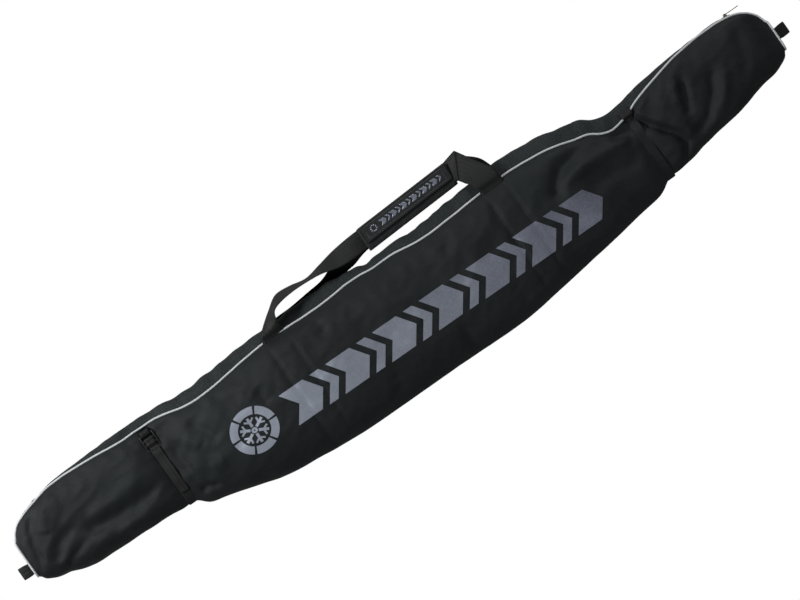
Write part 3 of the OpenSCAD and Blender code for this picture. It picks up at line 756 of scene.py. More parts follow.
def bump(tree, shader, height, strength, distance):
    """Relief of the surface from a height."""
    n = tree.nodes.new("ShaderNodeBump")
    n.inputs["Strength"].default_value = strength
    n.inputs["Distance"].default_value = distance
    tree.links.new(height, n.inputs["Height"])
    tree.links.new(n.outputs[0], shader.inputs["Normal"])


def node_group(tree, g, **values):
    """A node of a group, with these values."""
    n = tree.nodes.new("ShaderNodeGroup")
    n.node_tree = g
    for k, v in values.items():
        n.inputs[k].default_value = v
    return n


def spread(tree, value, low, high):
    """The value stretched so that low becomes 0 and high becomes 1."""
    r = tree.nodes.new("ShaderNodeMapRange")
    r.inputs["From Min"].default_value = low
    r.inputs["From Max"].default_value = high
    tree.links.new(value, r.inputs["Value"])
    return r.outputs[0]


def woven(name, dark, light, thread=0.0011, rough=0.62, strength=0.35, scale=6.0, over=0.35, spec=0.35):
    """Cloth or webbing: threads over and under each other, with a soft mottle."""
    m, tree, b = material(name, rough, spec=spec)
    w = node_group(tree, weave_group, Thread=thread)
    k = node_group(tree, mottle_group, Scale=scale)
    soft = spread(tree, k.outputs["Value"], 0.35, 0.65)
    mix = plus(tree, times(tree, soft, 1 - over), times(tree, w.outputs["Thread over"], over))
    tone(tree, b.inputs["Base Color"], mix, srgb(*dark), srgb(*light))
    bump(tree, b, w.outputs["Height"], strength, 0.0003)
    return m


def heathered(name, dark, light, fleck):
    """Cloth of mixed grey yarns: long thin flecks over a woven ground."""
    m, tree, b = material(name, 0.7, spec=0.3)
    stretch = tree.nodes.new("ShaderNodeMapping")
    stretch.inputs["Scale"].default_value = (240, 900, 1)
    noise = tree.nodes.new("ShaderNodeTexNoise")
    noise.inputs["Scale"].default_value = 1.0
    tree.links.new(cloth_uv(tree), stretch.inputs[0])
    tree.links.new(stretch.outputs[0], noise.inputs["Vector"])
    k = node_group(tree, mottle_group, Scale=9.0)
    soft = spread(tree, k.outputs["Value"], 0.36, 0.64)
    mix = tone(tree, b.inputs["Base Color"], soft, srgb(*dark), srgb(*light))
    top = tree.nodes.new("ShaderNodeMix")
    top.data_type = "RGBA"
    tree.links.new(spread(tree, noise.outputs[0], 0.5, 0.72), top.inputs["Factor"])
    tree.links.new(mix.outputs["Result"], top.inputs["A"])
    top.inputs["B"].default_value = srgb(*fleck)
    tree.links.new(top.outputs["Result"], b.inputs["Base Color"])
    w = node_group(tree, weave_group, Thread=0.0013)
    bump(tree, b, w.outputs["Height"], 0.4, 0.0003)
    return m


def ribbed(name, dark, light, rough=0.6, rib=0.0021):
    """Webbing: fine ribs across, with a herringbone lean, and painted shade darkening the grooves."""
    m, tree, b = material(name, rough, spec=0.35)
    place = split(tree, cloth_uv(tree))
    in_bone = math_node(tree, "FRACT", math_node(tree, "DIVIDE", place["Y"], 0.008))
    lean = math_node(tree, "ABSOLUTE", math_node(tree, "SUBTRACT", in_bone, 0.5))
    ribs = plus(tree, math_node(tree, "DIVIDE", place["X"], rib), times(tree, lean, 2.2))
    wave = math_node(tree, "SINE", times(tree, ribs, 2 * math.pi))
    height = plus(tree, times(tree, wave, 0.5), 0.5)
    k = node_group(tree, mottle_group, Scale=14.0)
    soft = spread(tree, k.outputs["Value"], 0.35, 0.65)
    # Painted shade: the rib height darkens the colour in the grooves and lightens it on the crests; the
    # mottle adds uneven tone.
    mix = plus(tree, times(tree, height, 0.5), times(tree, soft, 0.5))
    tone(tree, b.inputs["Base Color"], mix, srgb(*dark), srgb(*light))
    bump(tree, b, height, 0.5, 0.0005)
    return m


def twisted(name, dark, light):
    """Piping: two yarns wound round a cord, with painted shade darkening the grooves between the turns."""
    m, tree, b = material(name, 0.45, spec=0.5)
    place = split(tree, cloth_uv(tree))
    turns_along = math_node(tree, "DIVIDE", place["Y"], 0.0042)
    turns_round = math_node(tree, "DIVIDE", place["X"], 2 * math.pi * PIPE_R * MM)
    turns = plus(tree, turns_along, turns_round)
    wave = math_node(tree, "ABSOLUTE", math_node(tree, "SINE", times(tree, turns, 2 * math.pi)))
    k = node_group(tree, mottle_group, Scale=30.0)
    worn = plus(tree, times(tree, k.outputs["Value"], 0.4), 0.75)
    # Painted shade: the twist's wave darkens the colour in the grooves between the turns; the mottle scales
    # it as wear.
    mix = times(tree, math_node(tree, "POWER", wave, 0.6), worn, clamp=True)
    tone(tree, b.inputs["Base Color"], mix, srgb(*dark), srgb(*light))
    bump(tree, b, wave, 0.6, 0.0006)
    return m


def plain(name, dark, light, rough, metal=0.0, scale=40.0, strength=0.1, spec=0.5, coat=0.0):
    """A solid surface with a fine grain: plastic, metal, thread."""
    m, tree, b = material(name, rough, metal, spec, coat)
    k = node_group(tree, mottle_group, Scale=scale)
    tone(tree, b.inputs["Base Color"], k.outputs["Value"], srgb(*dark), srgb(*light))
    bump(tree, b, k.outputs["Value"], strength, 0.0002)
    return m


def printed(name):
    """Metallic ink on cloth: paler towards the tail as painted light from the key lamp's side, with worn
    places.
    """
    m, tree, b = material(name, 0.42, 0.55, 0.5)
    where = tree.nodes.new("ShaderNodeTexCoord")
    # Painted light: the ink grows paler towards the tail, the side the key lamp shines from.
    painted_light_to_tail = spread(tree, split(tree, where.outputs["Object"])["X"], -0.42, 0.46)
    k = node_group(tree, mottle_group, Scale=11.0)
    worn = times(tree, math_node(tree, "SUBTRACT", k.outputs["Value"], 0.5), 1.1)
    mix = plus(tree, painted_light_to_tail, worn, clamp=True)
    tone(tree, b.inputs["Base Color"], mix, srgb(170, 178, 192), srgb(104, 107, 122))
    w = node_group(tree, weave_group, Thread=0.0011)
    bump(tree, b, w.outputs["Height"], 0.25, 0.0002)
    return m


MAT = {
    "cloth": woven("front_cloth", (10, 14, 16), (21, 28, 31), over=0.25, spec=0.3),
    "gusset_cloth": heathered("gusset_cloth", (20, 25, 27), (31, 38, 40), (56, 63, 65)),
    "lining": woven("lining", (38, 40, 43), (52, 54, 58), thread=0.0009, rough=0.5, scale=9),
    "webbing": ribbed("webbing", (9, 10, 11), (27, 28, 29)),
    "piping": twisted("piping", (110, 114, 118), (232, 236, 238)),
    "padding": woven("padding", (21, 23, 24), (38, 41, 42), thread=0.0014, rough=0.75, strength=0.5),
    "hook_loop": plain("hook_loop", (14, 14, 15), (38, 38, 40), 0.95, scale=160, strength=0.9),
    "zip_tape": woven("zip_tape", (20, 22, 23), (38, 41, 42), thread=0.0008, rough=0.7),
    "zip_teeth": plain("zip_teeth", (30, 31, 33), (58, 60, 63), 0.35, scale=60),
    "zip_metal": plain("zip_metal", (132, 124, 100), (176, 168, 142), 0.32, 0.9, scale=50),
    "buckle": plain("buckle", (16, 16, 17), (30, 30, 32), 0.38, scale=70, strength=0.15),
    "print": printed("print_ink"),
    "thread": plain("thread", (24, 26, 27), (48, 50, 52), 0.6, scale=200),
    "grey_thread": plain("grey_thread", (70, 74, 76), (110, 114, 116), 0.6, scale=200),
}


def finish_piece(obj, mat, body=None, inside=None):
    """Gives a piece its materials and the body it moves with."""
    obj.data.materials.clear()
    obj.data.materials.append(MAT[mat])
    if inside:
        obj.data.materials.append(MAT[inside])
    if body:
        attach(obj, body)


# ---------------------------------------------------------------- the mouth
CREASE = mouth_axis[1]
BEND = 26  # half the width of the cloth's bend at the crease
END_BEND = 225  # how far from each end the flap begins to open


def mouth_weight(p):
    """How much points move with the flap: fully in the middle, not at all beyond crease and ends."""
    across = smooth((p[..., 1] - (CREASE - BEND)) / (2 * BEND))
    front = np.where(p[..., 2] > ZIP_Z + 0.2, 1.0, 0.0)
    return across * front * smooth((FLAP_END + 6 - np.abs(p[..., 0])) / END_BEND)


def opens(obj, weight=mouth_weight):
    """Bakes the piece's placement into its mesh and reckons the weight of each of its points; the weight is
    not used.
    """
    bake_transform(obj)
    w = weight(points_of(obj.data) / MM)


def opens_or_stays(obj, moves):
    """A piece of the mouth flap gets its placement baked in by opens; any other piece stays with the bag."""
    if moves:
        opens(obj)
    else:
        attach(obj, "bag")


# ---------------------------------------------------------------- the stuffed body settles
SEAM_HOLD = 1.6  # ring points from a seam where the cloth is free again
END_HOLD = 9  # millimetres of cloth held at each end
LEAST_HOLD = 0.015
LAST_FRAME = 18
MOST_MOVE = 8.0
CALM_PASSES = 2


def settle(v):
    """Lets the cloth find its small creases: held at seams, zip, straps and base, pushed out from inside."""
    rows, ring = v.shape[:2]
    faces = quads(rows, ring, closed=True)
    faces += [tuple(range(ring))[::-1], tuple((rows - 1) * ring + i for i in range(ring))]
    obj = make("settling", v.reshape(-1, 3), faces)
    fix_sides(obj)
    x, z = v[..., 0], v[..., 2]
    i = np.broadcast_to(np.arange(ring)[None, :], x.shape)
    held = np.zeros(x.shape)
    for seam in (I_SEAM, I_BACK):
        held = np.maximum(held, np.clip(1 - np.abs(i - seam) / SEAM_HOLD, 0, 1))
    held[(i == 0) | (i >= I_TAPE)] = 1
    held[z < 0.6] = 1
    held[HALF - np.abs(x) < END_HOLD] = 1
    for strap_x in (TAIL_STRAP_X, TIP_STRAP_X):
        held = np.maximum(held, np.clip(1.6 - np.abs(x - strap_x) / 10, 0, 1))
    held = np.maximum(held, LEAST_HOLD)
    held_points = obj.vertex_groups.new(name="held")
    levels = np.round(held.ravel(), 2)
    for level in np.unique(levels):
        held_points.add(np.nonzero(levels == level)[0].tolist(), float(level), "REPLACE")
    mod = obj.modifiers.new("cloth", "CLOTH")
    s = mod.settings
    s.quality = 5
    s.mass = 0.3
    s.tension_stiffness = s.compression_stiffness = 12
    s.shear_stiffness = 6
    s.bending_stiffness = 0.03
    s.tension_damping = s.compression_damping = s.shear_damping = 6
    s.air_damping = 2
    s.use_pressure = True
    s.uniform_pressure_force = 4
    s.shrink_min = -0.035
    s.vertex_group_mass = "held"
    s.effector_weights.gravity = 0
    mod.collision_settings.use_collision = False
    mod.point_cache.frame_start, mod.point_cache.frame_end = 1, 20
    scene = bpy.context.scene
    for f in range(1, LAST_FRAME + 1):
        scene.frame_set(f)
    done = obj.evaluated_get(bpy.context.evaluated_depsgraph_get()).to_mesh()
    moved = points_of(done)
    bpy.data.objects.remove(obj)
    scene.frame_set(1)
    move = moved.reshape(v.shape) / MM - v
    size = np.linalg.norm(move, axis=2, keepdims=True)
    move *= np.where(size > 1e-6, MOST_MOVE * np.tanh(size / MOST_MOVE) / np.maximum(size, 1e-6), 0)
    move *= (0.45 + 0.55 * np.clip(np.abs(i - I_FOLD) / 6, 0, 1))[..., None]
    for _ in range(CALM_PASSES):
        move = (np.roll(move, 1, 1) + 2 * move + np.roll(move, -1, 1)) / 4
        move[1:-1] = (move[:-2] + 2 * move[1:-1] + move[2:]) / 4
    settled = v + move
    settled[..., 2] = np.maximum(settled[..., 2], 0)
    return settled


sewn = settle(body_grid())


def part_grid(first, last):
    """A piece of the skin between two ring points, refined."""
    return finer(sewn[:, first : last + 1])


def normals_of(grid):
    """Outward normals of a piece of the skin."""
    n = normed(np.cross(np.gradient(grid, axis=0), np.gradient(grid, axis=1)))
    out = np.sign(((grid - np.array([0, -20, 45])) * n).sum(axis=2).mean())
    return n * (out if out else 1)


def skin(name, first, last, mat, nodes, moves):
    """One cloth of the skin, with its lining: its grid and its outward normals."""
    grid = part_grid(first, last)
    n = normals_of(grid)
    obj = shell(name, grid, grid - WALL * n, arc_uv(grid))
    finish_piece(obj, mat, inside="lining")
    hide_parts(*nodes)
    opens_or_stays(obj, moves)
    return grid, n


front_grid, front_n = skin("front_cloth", I_SEAM, I_FOLD, "cloth", ["front_panel", "front_panel_flap"], True)
fg_grid, fg_n = skin(
    "front_gusset_cloth", 0, I_SEAM, "gusset_cloth", ["front_gusset_ends", "front_gusset_flap"], True)
back_grid, back_n = skin("back_cloth", I_FOLD, I_BACK, "cloth", ["back_panel"], False)
bg_grid, bg_n = skin("back_gusset_cloth", I_BACK, I_TAPE, "gusset_cloth", ["back_gusset"], False)

# End walls: a disc of cloth, a little domed
for row, side, node in ((0, -1, "tail_end_wall"), (-1, 1, "tip_end_wall")):
    ring = finer(sewn[:3] if row == 0 else sewn[-3:])[row]
    ring = np.concatenate([ring, ring[:1]])
    mid = ring.mean(axis=0)
    disc = []
    for k in np.linspace(1, 0.02, 9):
        p = mid + (ring - mid) * k
        p[:, 0] = ring[:, 0] + side * 5.0 * (1 - k**2.2)
        disc.append(p)
    disc = np.array(disc)
    inner = disc.copy()
    inner[..., 0] -= side * WALL
    wall = shell(f"end_cloth_{'tail' if side < 0 else 'tip'}", disc, inner, disc[..., 1:] * MM)
    finish_piece(wall, "cloth", "bag", "lining")
    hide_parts(node)

# ---------------------------------------------------------------- zip
x_grid = finer(sewn)[:, 0, 0]
zip_on = (x_grid >= tape_low[0]) & (x_grid <= tape_high[0])
front_edge = fg_grid[:, 0]
back_edge = bg_grid[:, -1]
for name, edge, sign, mat_nodes, moves in (
    ("zip_tape_front_cloth", front_edge, 1, ["zip_tape_front_ends", "zip_tape_front_flap"], True),
    ("zip_tape_back_cloth", back_edge, -1, ["zip_tape_back"], False),
):
    line = edge[zip_on]
    inner_edge = line.copy()
    inner_edge[:, 2] = ZIP_Z + sign * 1.4
    k = np.linspace(-0.12, 1, 6)[None, :, None]
    grid = line[:, None] * (1 - k) + inner_edge[:, None] * k
    grid[:, 0, 1] -= 1.5
    under = grid.copy()
    under[..., 1] -= 1.0
    tape = shell(name, grid, under, arc_uv(grid))
    finish_piece(tape, "zip_tape")
    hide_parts(*mat_nodes)
    opens_or_stays(tape, moves)

# Each coil is one long spring of thread, its turns meeting in the middle of the zip
zip_line = (front_edge + back_edge)[zip_on] / 2
for name, sign, mat_nodes, moves in (
    ("zip_coil_front", 1, ["zip_teeth_front_ends", "zip_teeth_front_flap"], True),
    ("zip_coil_back", -1, ["zip_teeth_back"], False),
):
    pitch, turn_steps = 2.3, 7  # millimetres to a turn of the coil, and points to a turn
    inside = zip_line[(zip_line[:, 0] > teeth_low[0]) & (zip_line[:, 0] < teeth_high[0])]
    xs = np.arange(teeth_low[0], teeth_high[0], pitch / turn_steps)
    a = 2 * math.pi * (xs - xs[0]) / pitch + (0 if sign > 0 else math.pi)
    cy = np.interp(xs, inside[:, 0], inside[:, 1]) + 1.0
    path = np.stack([xs, cy + 0.85 * np.sin(a), ZIP_Z + sign * (1.9 + 1.7 * np.cos(a))], 1)
    coil = tube(name, path, 0.45, 5)
    finish_piece(coil, "zip_teeth")
    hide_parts(*mat_nodes)
    opens_or_stays(coil, moves)

# Cloth that closes the two ends of the zip
for side in (-1, 1):
    on = x_grid < tape_low[0] + 6 if side < 0 else x_grid > tape_high[0] - 6
    a, b = back_edge[on], front_edge[on]
    k = np.linspace(-0.08, 1.08, 9)[None, :, None]
    grid = a[:, None] * (1 - k) + b[:, None] * k
    grid[..., 1] += 1.2 * (1 - (2 * k[..., 0] - 1) ** 2)
    under = grid.copy()
    under[..., 1] -= 1.2
    cover = shell(f"zip_cover_{'tail' if side < 0 else 'tip'}", grid, under, arc_uv(grid))
    finish_piece(cover, "cloth", "bag", "lining")
    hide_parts("zip_end_covers")

for k, x in enumerate((tape_low[0] + 4, teeth_high[0] + 1.5)):
    y = np.interp(x, zip_line[:, 0], zip_line[:, 1])
    stop = block(f"zip_stop_{k}", (x, y + 1.0, ZIP_Z), (3.2, 2.2, 7.4), 0.7)
    finish_piece(stop, "zip_metal", "bag")
    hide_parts("zip_stops")

# Slider: two plates joined by a neck, with two ears and a pin that hold the pull
slider_low, slider_high = node_box("zip_slider")
pivot = np.array(joints["pull_turn"]["pos_m"]) / MM
sx = (slider_low[0] + slider_high[0]) / 2
sy = np.interp(sx, zip_line[:, 0], zip_line[:, 1]) + 1.0


def mirrored(half):
    """An outline from its upper half: the same points again below, the other way round."""
    return half + [(a, -b) for a, b in half[::-1] if b]


slider_outline = mirrored([(-9, 4.2), (-3, 5.9), (5, 5.9), (9, 3.0), (8.2, 0.6)])
parts = []
for y in (sy + 2.3, sy - 2.3):
    parts.append(
        plate("slider_plate", slider_outline, [], 1.5, lambda a, b, c, y=y: (sx + a, y + c, ZIP_Z + b), 0.4))
for z in (-5.4, 5.4):
    parts.append(block("slider_side", (sx - 2, sy, ZIP_Z + z), (11, 3.4, 1.1), 0.4, 2))
parts.append(block("slider_neck", (sx + 6.2, sy, ZIP_Z), (3.0, 4.6, 1.1), 0.4, 2))
ear_foot = sy + 2.2 - pivot[1]
for side in (-1, 1):
    ear = [(-3.4, ear_foot), (3.4, ear_foot), (2.0, 0.8), (1.1, 1.8), (-1.1, 1.8), (-2.0, 0.8)]
    z = ZIP_Z + side * 3.5
    parts.append(
        plate("slider_ear", ear, [], 1.0, lambda a, b, c, z=z: (pivot[0] + a, pivot[1] + b, z + c), 0.3))
parts.append(tube("slider_pin", np.array([(pivot[0], pivot[1], ZIP_Z + z) for z in (-4.3, 0, 4.3)]), 0.7, 12))
slider = joined("slider_body", parts)
finish_piece(slider, "zip_metal", "slider")
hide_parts("zip_slider")

# Pull: an eye round the pin and a long tab with a hole
px, py = pivot[0], pivot[1]
eye = [(math.cos(a), math.sin(a)) for a in np.linspace(0, 2 * math.pi, 20, endpoint=False)]
tab_outline = mirrored([(1.5, 2.5), (6, 2.6), (10, 4.2), (24, 4.6), (29, 3.4), (31, 0)])
hole = [(24.5 + 2.6 * a, 2.2 * b) for a, b in eye]
slit = [(12 + 3.0 * a, 1.3 * b) for a, b in eye]
pull = joined("pull_tab", [
    plate("pull_plate", tab_outline, [hole, slit], 1.5, lambda a, b, c: (px + a, py + c, ZIP_Z + b), 0.4),
    plate("pull_eye", [(1.9 * a, 1.9 * b) for a, b in eye], [[(1.0 * a, 1.0 * b) for a, b in eye]], 5.0,
          lambda a, b, c: (px + a, py + b, ZIP_Z + c), 0.3),
])
finish_piece(pull, "zip_metal", "pull")
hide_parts("zip_pull")

# ---------------------------------------------------------------- piping and seam stitches
front_seam_n = normed(front_n[:, 0] * 0.75 + fg_n[:, -1] * 0.65)
back_seam_n = normed(back_n[:, -1] * 0.75 + bg_n[:, 0] * 0.65)
END_TURN = 66  # points of a panel's end outline that its cord goes round


def piping_path(grid, n, corner, step, out):
    """The path of the cord: round the tail end, along the seam and round the tip end of a panel."""
    body = grid[:, corner] + n * (PIPE_R * out)
    turn = slice(corner + step, corner + step * END_TURN, step)
    tail = grid[0, turn] + np.array([-PIPE_R * 0.6, 0, 0])
    tip = grid[-1, turn] + np.array([PIPE_R * 0.6, 0, 0])
    return np.concatenate([tail[::-1], body[3:-3], tip])


path = piping_path(front_grid, front_seam_n, 0, 1, 0.55)
front_pipe = tube("front_piping_cord", path, PIPE_R, 14)
finish_piece(front_pipe, "piping")
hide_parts("front_piping_flap", "front_piping_ends")
opens(front_pipe)
path = piping_path(back_grid, back_seam_n, back_grid.shape[1] - 1, -1, 0.1)
path[:, 2] = np.maximum(path[:, 2], PIPE_R - 0.2)
back_pipe = tube("back_piping_cord", path, PIPE_R, 14)
finish_piece(back_pipe, "piping", "bag")
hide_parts("back_piping")

stitch = thread_unit()
for name, grid, n, col, mat, moves in (
    ("stitches_front_seam", front_grid, front_n, 2, "thread", True),
    ("stitches_front_gusset", fg_grid, fg_n, 1, "grey_thread", True),
    ("stitches_back_gusset", bg_grid, bg_n, bg_grid.shape[1] - 2, "grey_thread", False),
    ("stitches_back_seam", back_grid, back_n, back_grid.shape[1] - 3, "thread", False),
):
    spots = spots_on(grid[6:-6, col] + 0.1 * n[6:-6, col], n[6:-6, col], 4.4)
    opens_or_stays(stitched(name, stitch, spots, mat), moves)

# ---------------------------------------------------------------- what lies on the front cloth
cloth_tree = BVHTree.FromPolygons(
    [Vector(p) for p in front_grid.reshape(-1, 3).tolist()], quads(*front_grid.shape[:2]))


def drape(x, y):
    """The place on the front cloth below (x, y), and the cloth's outward normal there."""
    hit, n, _, _ = cloth_tree.ray_cast(Vector((x, y, 400)), Vector((0, 0, -1)))
    if hit is None:
        hit, n, _, _ = cloth_tree.find_nearest(Vector((x, y, 60)))
    return np.array(hit), np.array(n if n.z > 0 else -n)


def draped_grid(flat, lift):
    """A grid of flat (x, y) points laid on the front cloth."""
    out = np.zeros(flat.shape[:2] + (3,))
    n = np.zeros_like(out)
    for s in range(flat.shape[0]):
        for i in range(flat.shape[1]):
            out[s, i], n[s, i] = drape(*flat[s, i])
    return out + lift * n, n


def ink(name, flat):
    """A thin patch of ink on the cloth."""
    grid, n = draped_grid(flat, 0.42)
    obj = shell(name, grid, grid - 0.3 * n, flat * MM)
    obj.data.set_sharp_from_angle(angle=math.radians(40))
    return obj


def patch(a, b, c, d, cell=4.0):
    """A grid between four corners: a to b on one side, d to c on the other."""
    a, b, c, d = (np.array(p, float) for p in (a, b, c, d))
    m = max(2, int(np.ceil(max(np.linalg.norm(b - a), np.linalg.norm(c - d)) / cell)) + 1)
    k = max(2, int(np.ceil(max(np.linalg.norm(d - a), np.linalg.norm(c - b)) / cell)) + 1)
    s = np.linspace(0, 1, m)[:, None, None]
    t = np.linspace(0, 1, k)[None, :, None]
    return (a * (1 - s) + b * s) * (1 - t) + (d * (1 - s) + c * s) * t


band_x0, band_l = -293, 720


def band_y(x):
    """Upper and lower edge of the print band at x."""
    t = (x - band_x0) / band_l
    return -6 - 9 * t, -73 - 9 * t


def chevron(x, w, point=24):
    """An arrow of the band, pointing to the tip, as its upper and lower half."""
    hi, lo = band_y(x + w / 2)
    mid = (hi + lo) / 2
    return [
        patch((x, hi), (x + w, hi), (x + w + point, mid), (x + point, mid)),
        patch((x + point, mid), (x + w + point, mid), (x + w, lo), (x, lo)),
    ]


# The band: arrows, wide and narrow by turns
bars = []
x = band_x0
for k in range(13):
    w = 54 if k % 2 == 0 else 20
    bars += chevron(x, w)
    x += w + 15.5
band = joined("print_band", [ink(f"bar_{k}", b) for k, b in enumerate(bars)])
finish_piece(band, "print")
opens(band)

# The emblem: a ring round a star of six narrow arms with side twigs
ex, ey, er = -366, -33, 45
SQUASH = 0.92  # height of the emblem to its width


def ring_patch(r0, r1, a0=0, a1=360):
    """A piece of a ring about the emblem's middle, between two radii and two angles."""
    a = np.radians(np.linspace(a0, a1, max(3, int((a1 - a0) / 6) + 1)))[:, None]
    r = np.linspace(r0, r1, 4)[None, :]
    return np.stack([ex + r * np.cos(a), ey + SQUASH * r * np.sin(a)], 2)


def arm(angle, r0, r1, w):
    """An arm of the star at an angle, from r0 to r1, w wide to each side."""
    c, s = math.cos(math.radians(angle)), math.sin(math.radians(angle))

    def at(r, d):
        return (ex + r * c - d * s, ey + SQUASH * (r * s + d * c))

    return patch(at(r0, -w), at(r1, -w), at(r1, w), at(r0, w))


marks = [ring_patch(er - 13, er + 3, a, a + 54) for a in range(4, 360, 60)]
for a in range(30, 390, 60):
    marks.append(arm(a, 8, er - 17, 2.8))
    for turn in (-1, 1):
        c, s = math.cos(math.radians(a)), math.sin(math.radians(a))
        bx, by = 17 * c, 17 * s
        d = math.radians(a + 55 * turn)
        tx, ty = bx + 12 * math.cos(d), by + 12 * math.sin(d)
        nx, ny = 1.9 * math.sin(d), -1.9 * math.cos(d)
        twig = ((bx - nx, by - ny), (tx - nx, ty - ny), (tx + nx, ty + ny), (bx + nx, by + ny))
        marks.append(patch(*[(ex + p, ey + SQUASH * q) for p, q in twig], cell=3))
marks.append(ring_patch(1.5, 6))
emblem = joined("print_emblem", [ink(f"mark_{k}", b) for k, b in enumerate(marks)])
finish_piece(emblem, "print")
opens(emblem)

# Stitch lines of the webbing sewn behind the cloth, straight down from each handle foot
spots = []
for foot in (FOOT_TAIL_X, FOOT_TIP_X):
    for side in (-1, 1):
        x = foot + side * HANDLE_W * 0.45
        i = int(np.argmin(np.abs(front_grid[:, 0, 0] - x)))
        line, up = front_grid[i, 3:-4], front_n[i, 3:-4]
        spots += spots_on(line + 0.12 * up, up, 4.2)
opens(stitched("stitches_band_lines", stitch, spots, "thread"))

# Webbing bands sewn behind the cloth
for name, grid, n, first, last, nodes, moves in (
    ("band_front", front_grid, front_n, 6, -3, ["handle_band_upper", "handle_band_lower"], True),
    ("band_back", back_grid, back_n, 3, -6, ["handle_band_back"], False),
):
    pieces = []
    for foot in (FOOT_TAIL_X, FOOT_TIP_X):
        on = np.abs(grid[:, 0, 0] - foot) < HANDLE_W / 2
        g, m = grid[on, first:last], n[on, first:last]
        pieces.append(shell("band", g - (WALL + 0.5) * m, g - (WALL + 1.4) * m, arc_uv(g)))
    obj = joined(name, pieces)
    finish_piece(obj, "webbing")
    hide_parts(*nodes)
    opens_or_stays(obj, moves)

# ---------------------------------------------------------------- carry handle
def foot_place(x, y):
    """A place just over the piping, where a foot of the handle lies."""
    at, n = drape(x, y)
    return at + n * (PIPE_R * 1.2 + 1)


TILT = 0.048  # rise of the grip towards the tip, per millimetre


# Rows of the webbings: the middle, and half the width as a vector
seam_tail, seam_tip = foot_place(FOOT_TAIL_X, 90), foot_place(FOOT_TIP_X, 88)
front_rows = [
    ((FOOT_TAIL_X, 83, seam_tail[2] - 0.4), (25, 0, 0)),
    ((FOOT_TAIL_X, 92, seam_tail[2] + 0.6), (25, 0, 0)),
    ((-235, 103, 97), (22, -1, 3)),
    ((-229, 115, 96), (15, -2, 14)),
    ((-213, 132, 92), (6, -4, 22)),
    ((-190, 144, 86), (2, -9, 21)),
    ((-160, 145, 79), (0, -7, 22)),
    ((-128, 142, 74), (0, -4, 23)),
    ((-95, 143, 70), (0, -9, 21)),
    ((-60, 142, 66), (0, -17, 14)),
    ((-25, 143, 62), (0, -20, 5)),
    ((4, 144.5, 59), (0, -20, 0)),
    ((60, 147, 58), (0, -19, 0)),
    ((150, 151, 58), (0, -19, 0)),
    ((204, 154, 59), (0, -21, 0)),
]
fold_rows = [
    ((204, 154, 59), (0, -21, 0)),
    ((222.4, 157.2, 69.9), (-12.4, -25.3, 4.6)),
    ((224.8, 157.5, 72.6), (-13, -25.5, 5)),
    ((226.4, 155.8, 71.6), (-13.4, -24.8, 4.7)),
    ((241, 131, 84), (-20, -13, 0)),
    ((250, 117, 95), (-26, -2.5, 0)),
    ((256, 101, 99.5), (-25, -0.5, 0)),
    ((FOOT_TIP_X, 91, seam_tip[2] + 0.8), (-25, 0, 0)),
    ((FOOT_TIP_X, 82, seam_tip[2] - 0.6), (-25, 0, 0)),
]


def straight_rows(rows, per):
    """Rows between rows, with the corners left crisp."""
    flat = np.array([list(m) + list(h) for m, h in rows], float)
    fine = np.linspace(0, len(flat) - 1, (len(flat) - 1) * per + 1)
    return [(r[:3], r[3:]) for r in sampled(flat, np.arange(len(flat)), fine)]


def smoothed_rows(rows, per):
    """Rows between rows, on a smooth line."""
    flat = spline(np.array([list(m) + list(h) for m, h in rows]), per)
    return [(r[:3], r[3:]) for r in flat]


front_web = joined("handle_front_web", [
    ribbon("web_a", smoothed_rows(front_rows, 8), 2.0, 1, 13, crown=-0.4),
    ribbon("web_b", straight_rows(fold_rows[:5], 6) + smoothed_rows(fold_rows[4:], 6)[1:], 2.0, 1, 13),
])
finish_piece(front_web, "webbing")
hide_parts("handle_front")


def leg_weight(p):
    """How much a leg of the handle moves with it: not at its foot, fully above the seam."""
    return smooth((p[..., 1] - 90) / 16)


opens(front_web, leg_weight)

back_rows = [
    ((FOOT_TAIL_X, 82, 3.5), (25, 0, 0)),
    ((FOOT_TAIL_X, 92, 4), (25, 0, 0)),
    ((-233, 104, 7), (23, -4, -1)),
    ((-215, 112, 13), (11, -5, -10)),
    ((-180, 115, 22), (2, -3, -19)),
    ((-141, 118.5, 27), (0, -3.5, -20)),
    ((-106, 120, 33), (0, -6, -18)),
    ((-80, 124, 41), (0, -12, -13)),
    ((-40, 134, 48), (0, -20, -5)),
    ((4, 143, 51.6), (0, -19, 0)),
    ((100, 148, 52), (0, -19, 0)),
    ((205, 152, 51.6), (0, -19, 0)),
    ((226, 152, 46), (-11, -19, 0)),
    ((247, 137, 34), (-21, -12, 3)),
    ((259, 121, 20), (-22, -5, 8)),
    ((260, 106, 8), (-25, 0, 2)),
    ((FOOT_TIP_X + 1, 92, 3.6), (-25, 0, 0)),
    ((FOOT_TIP_X, 82, 3.2), (-25, 0, 0)),
]
back_web = ribbon("handle_back_web", smoothed_rows(back_rows, 8), 2.0, 1, 13)
finish_piece(back_web, "webbing")
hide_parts("handle_back")
opens(back_web, leg_weight)

# Stitched boxes where the webbing is sewn on
stitch_short = thread_unit(2.6, 0.36)
spots = []
for foot, z in ((FOOT_TAIL_X, seam_tail[2]), (FOOT_TIP_X, seam_tip[2])):
    x0, x1, y0, y1 = foot - 21, foot + 21, 84.5, 91.5
    box_line = [(x0, y0), (x1, y0), (x1, y1), (x0, y1), (x0, y0)]
    line = []
    for a, b in zip(box_line[:-1], box_line[1:]):
        k = np.linspace(0, 1, 12, endpoint=False)[:, None]
        line.append(np.array(a) * (1 - k) + np.array(b) * k)
    flat = np.concatenate(line)
    web_z = np.interp(flat[:, 1], [83, 92], [z - 0.4, z + 0.6]) + 1.05
    spots += spots_on(np.column_stack([flat, web_z]), np.tile([0, 0, 1.0], (len(flat), 1)), 3.6)
stitched("stitches_feet", stitch_short, spots, "thread", "mouth_flap")

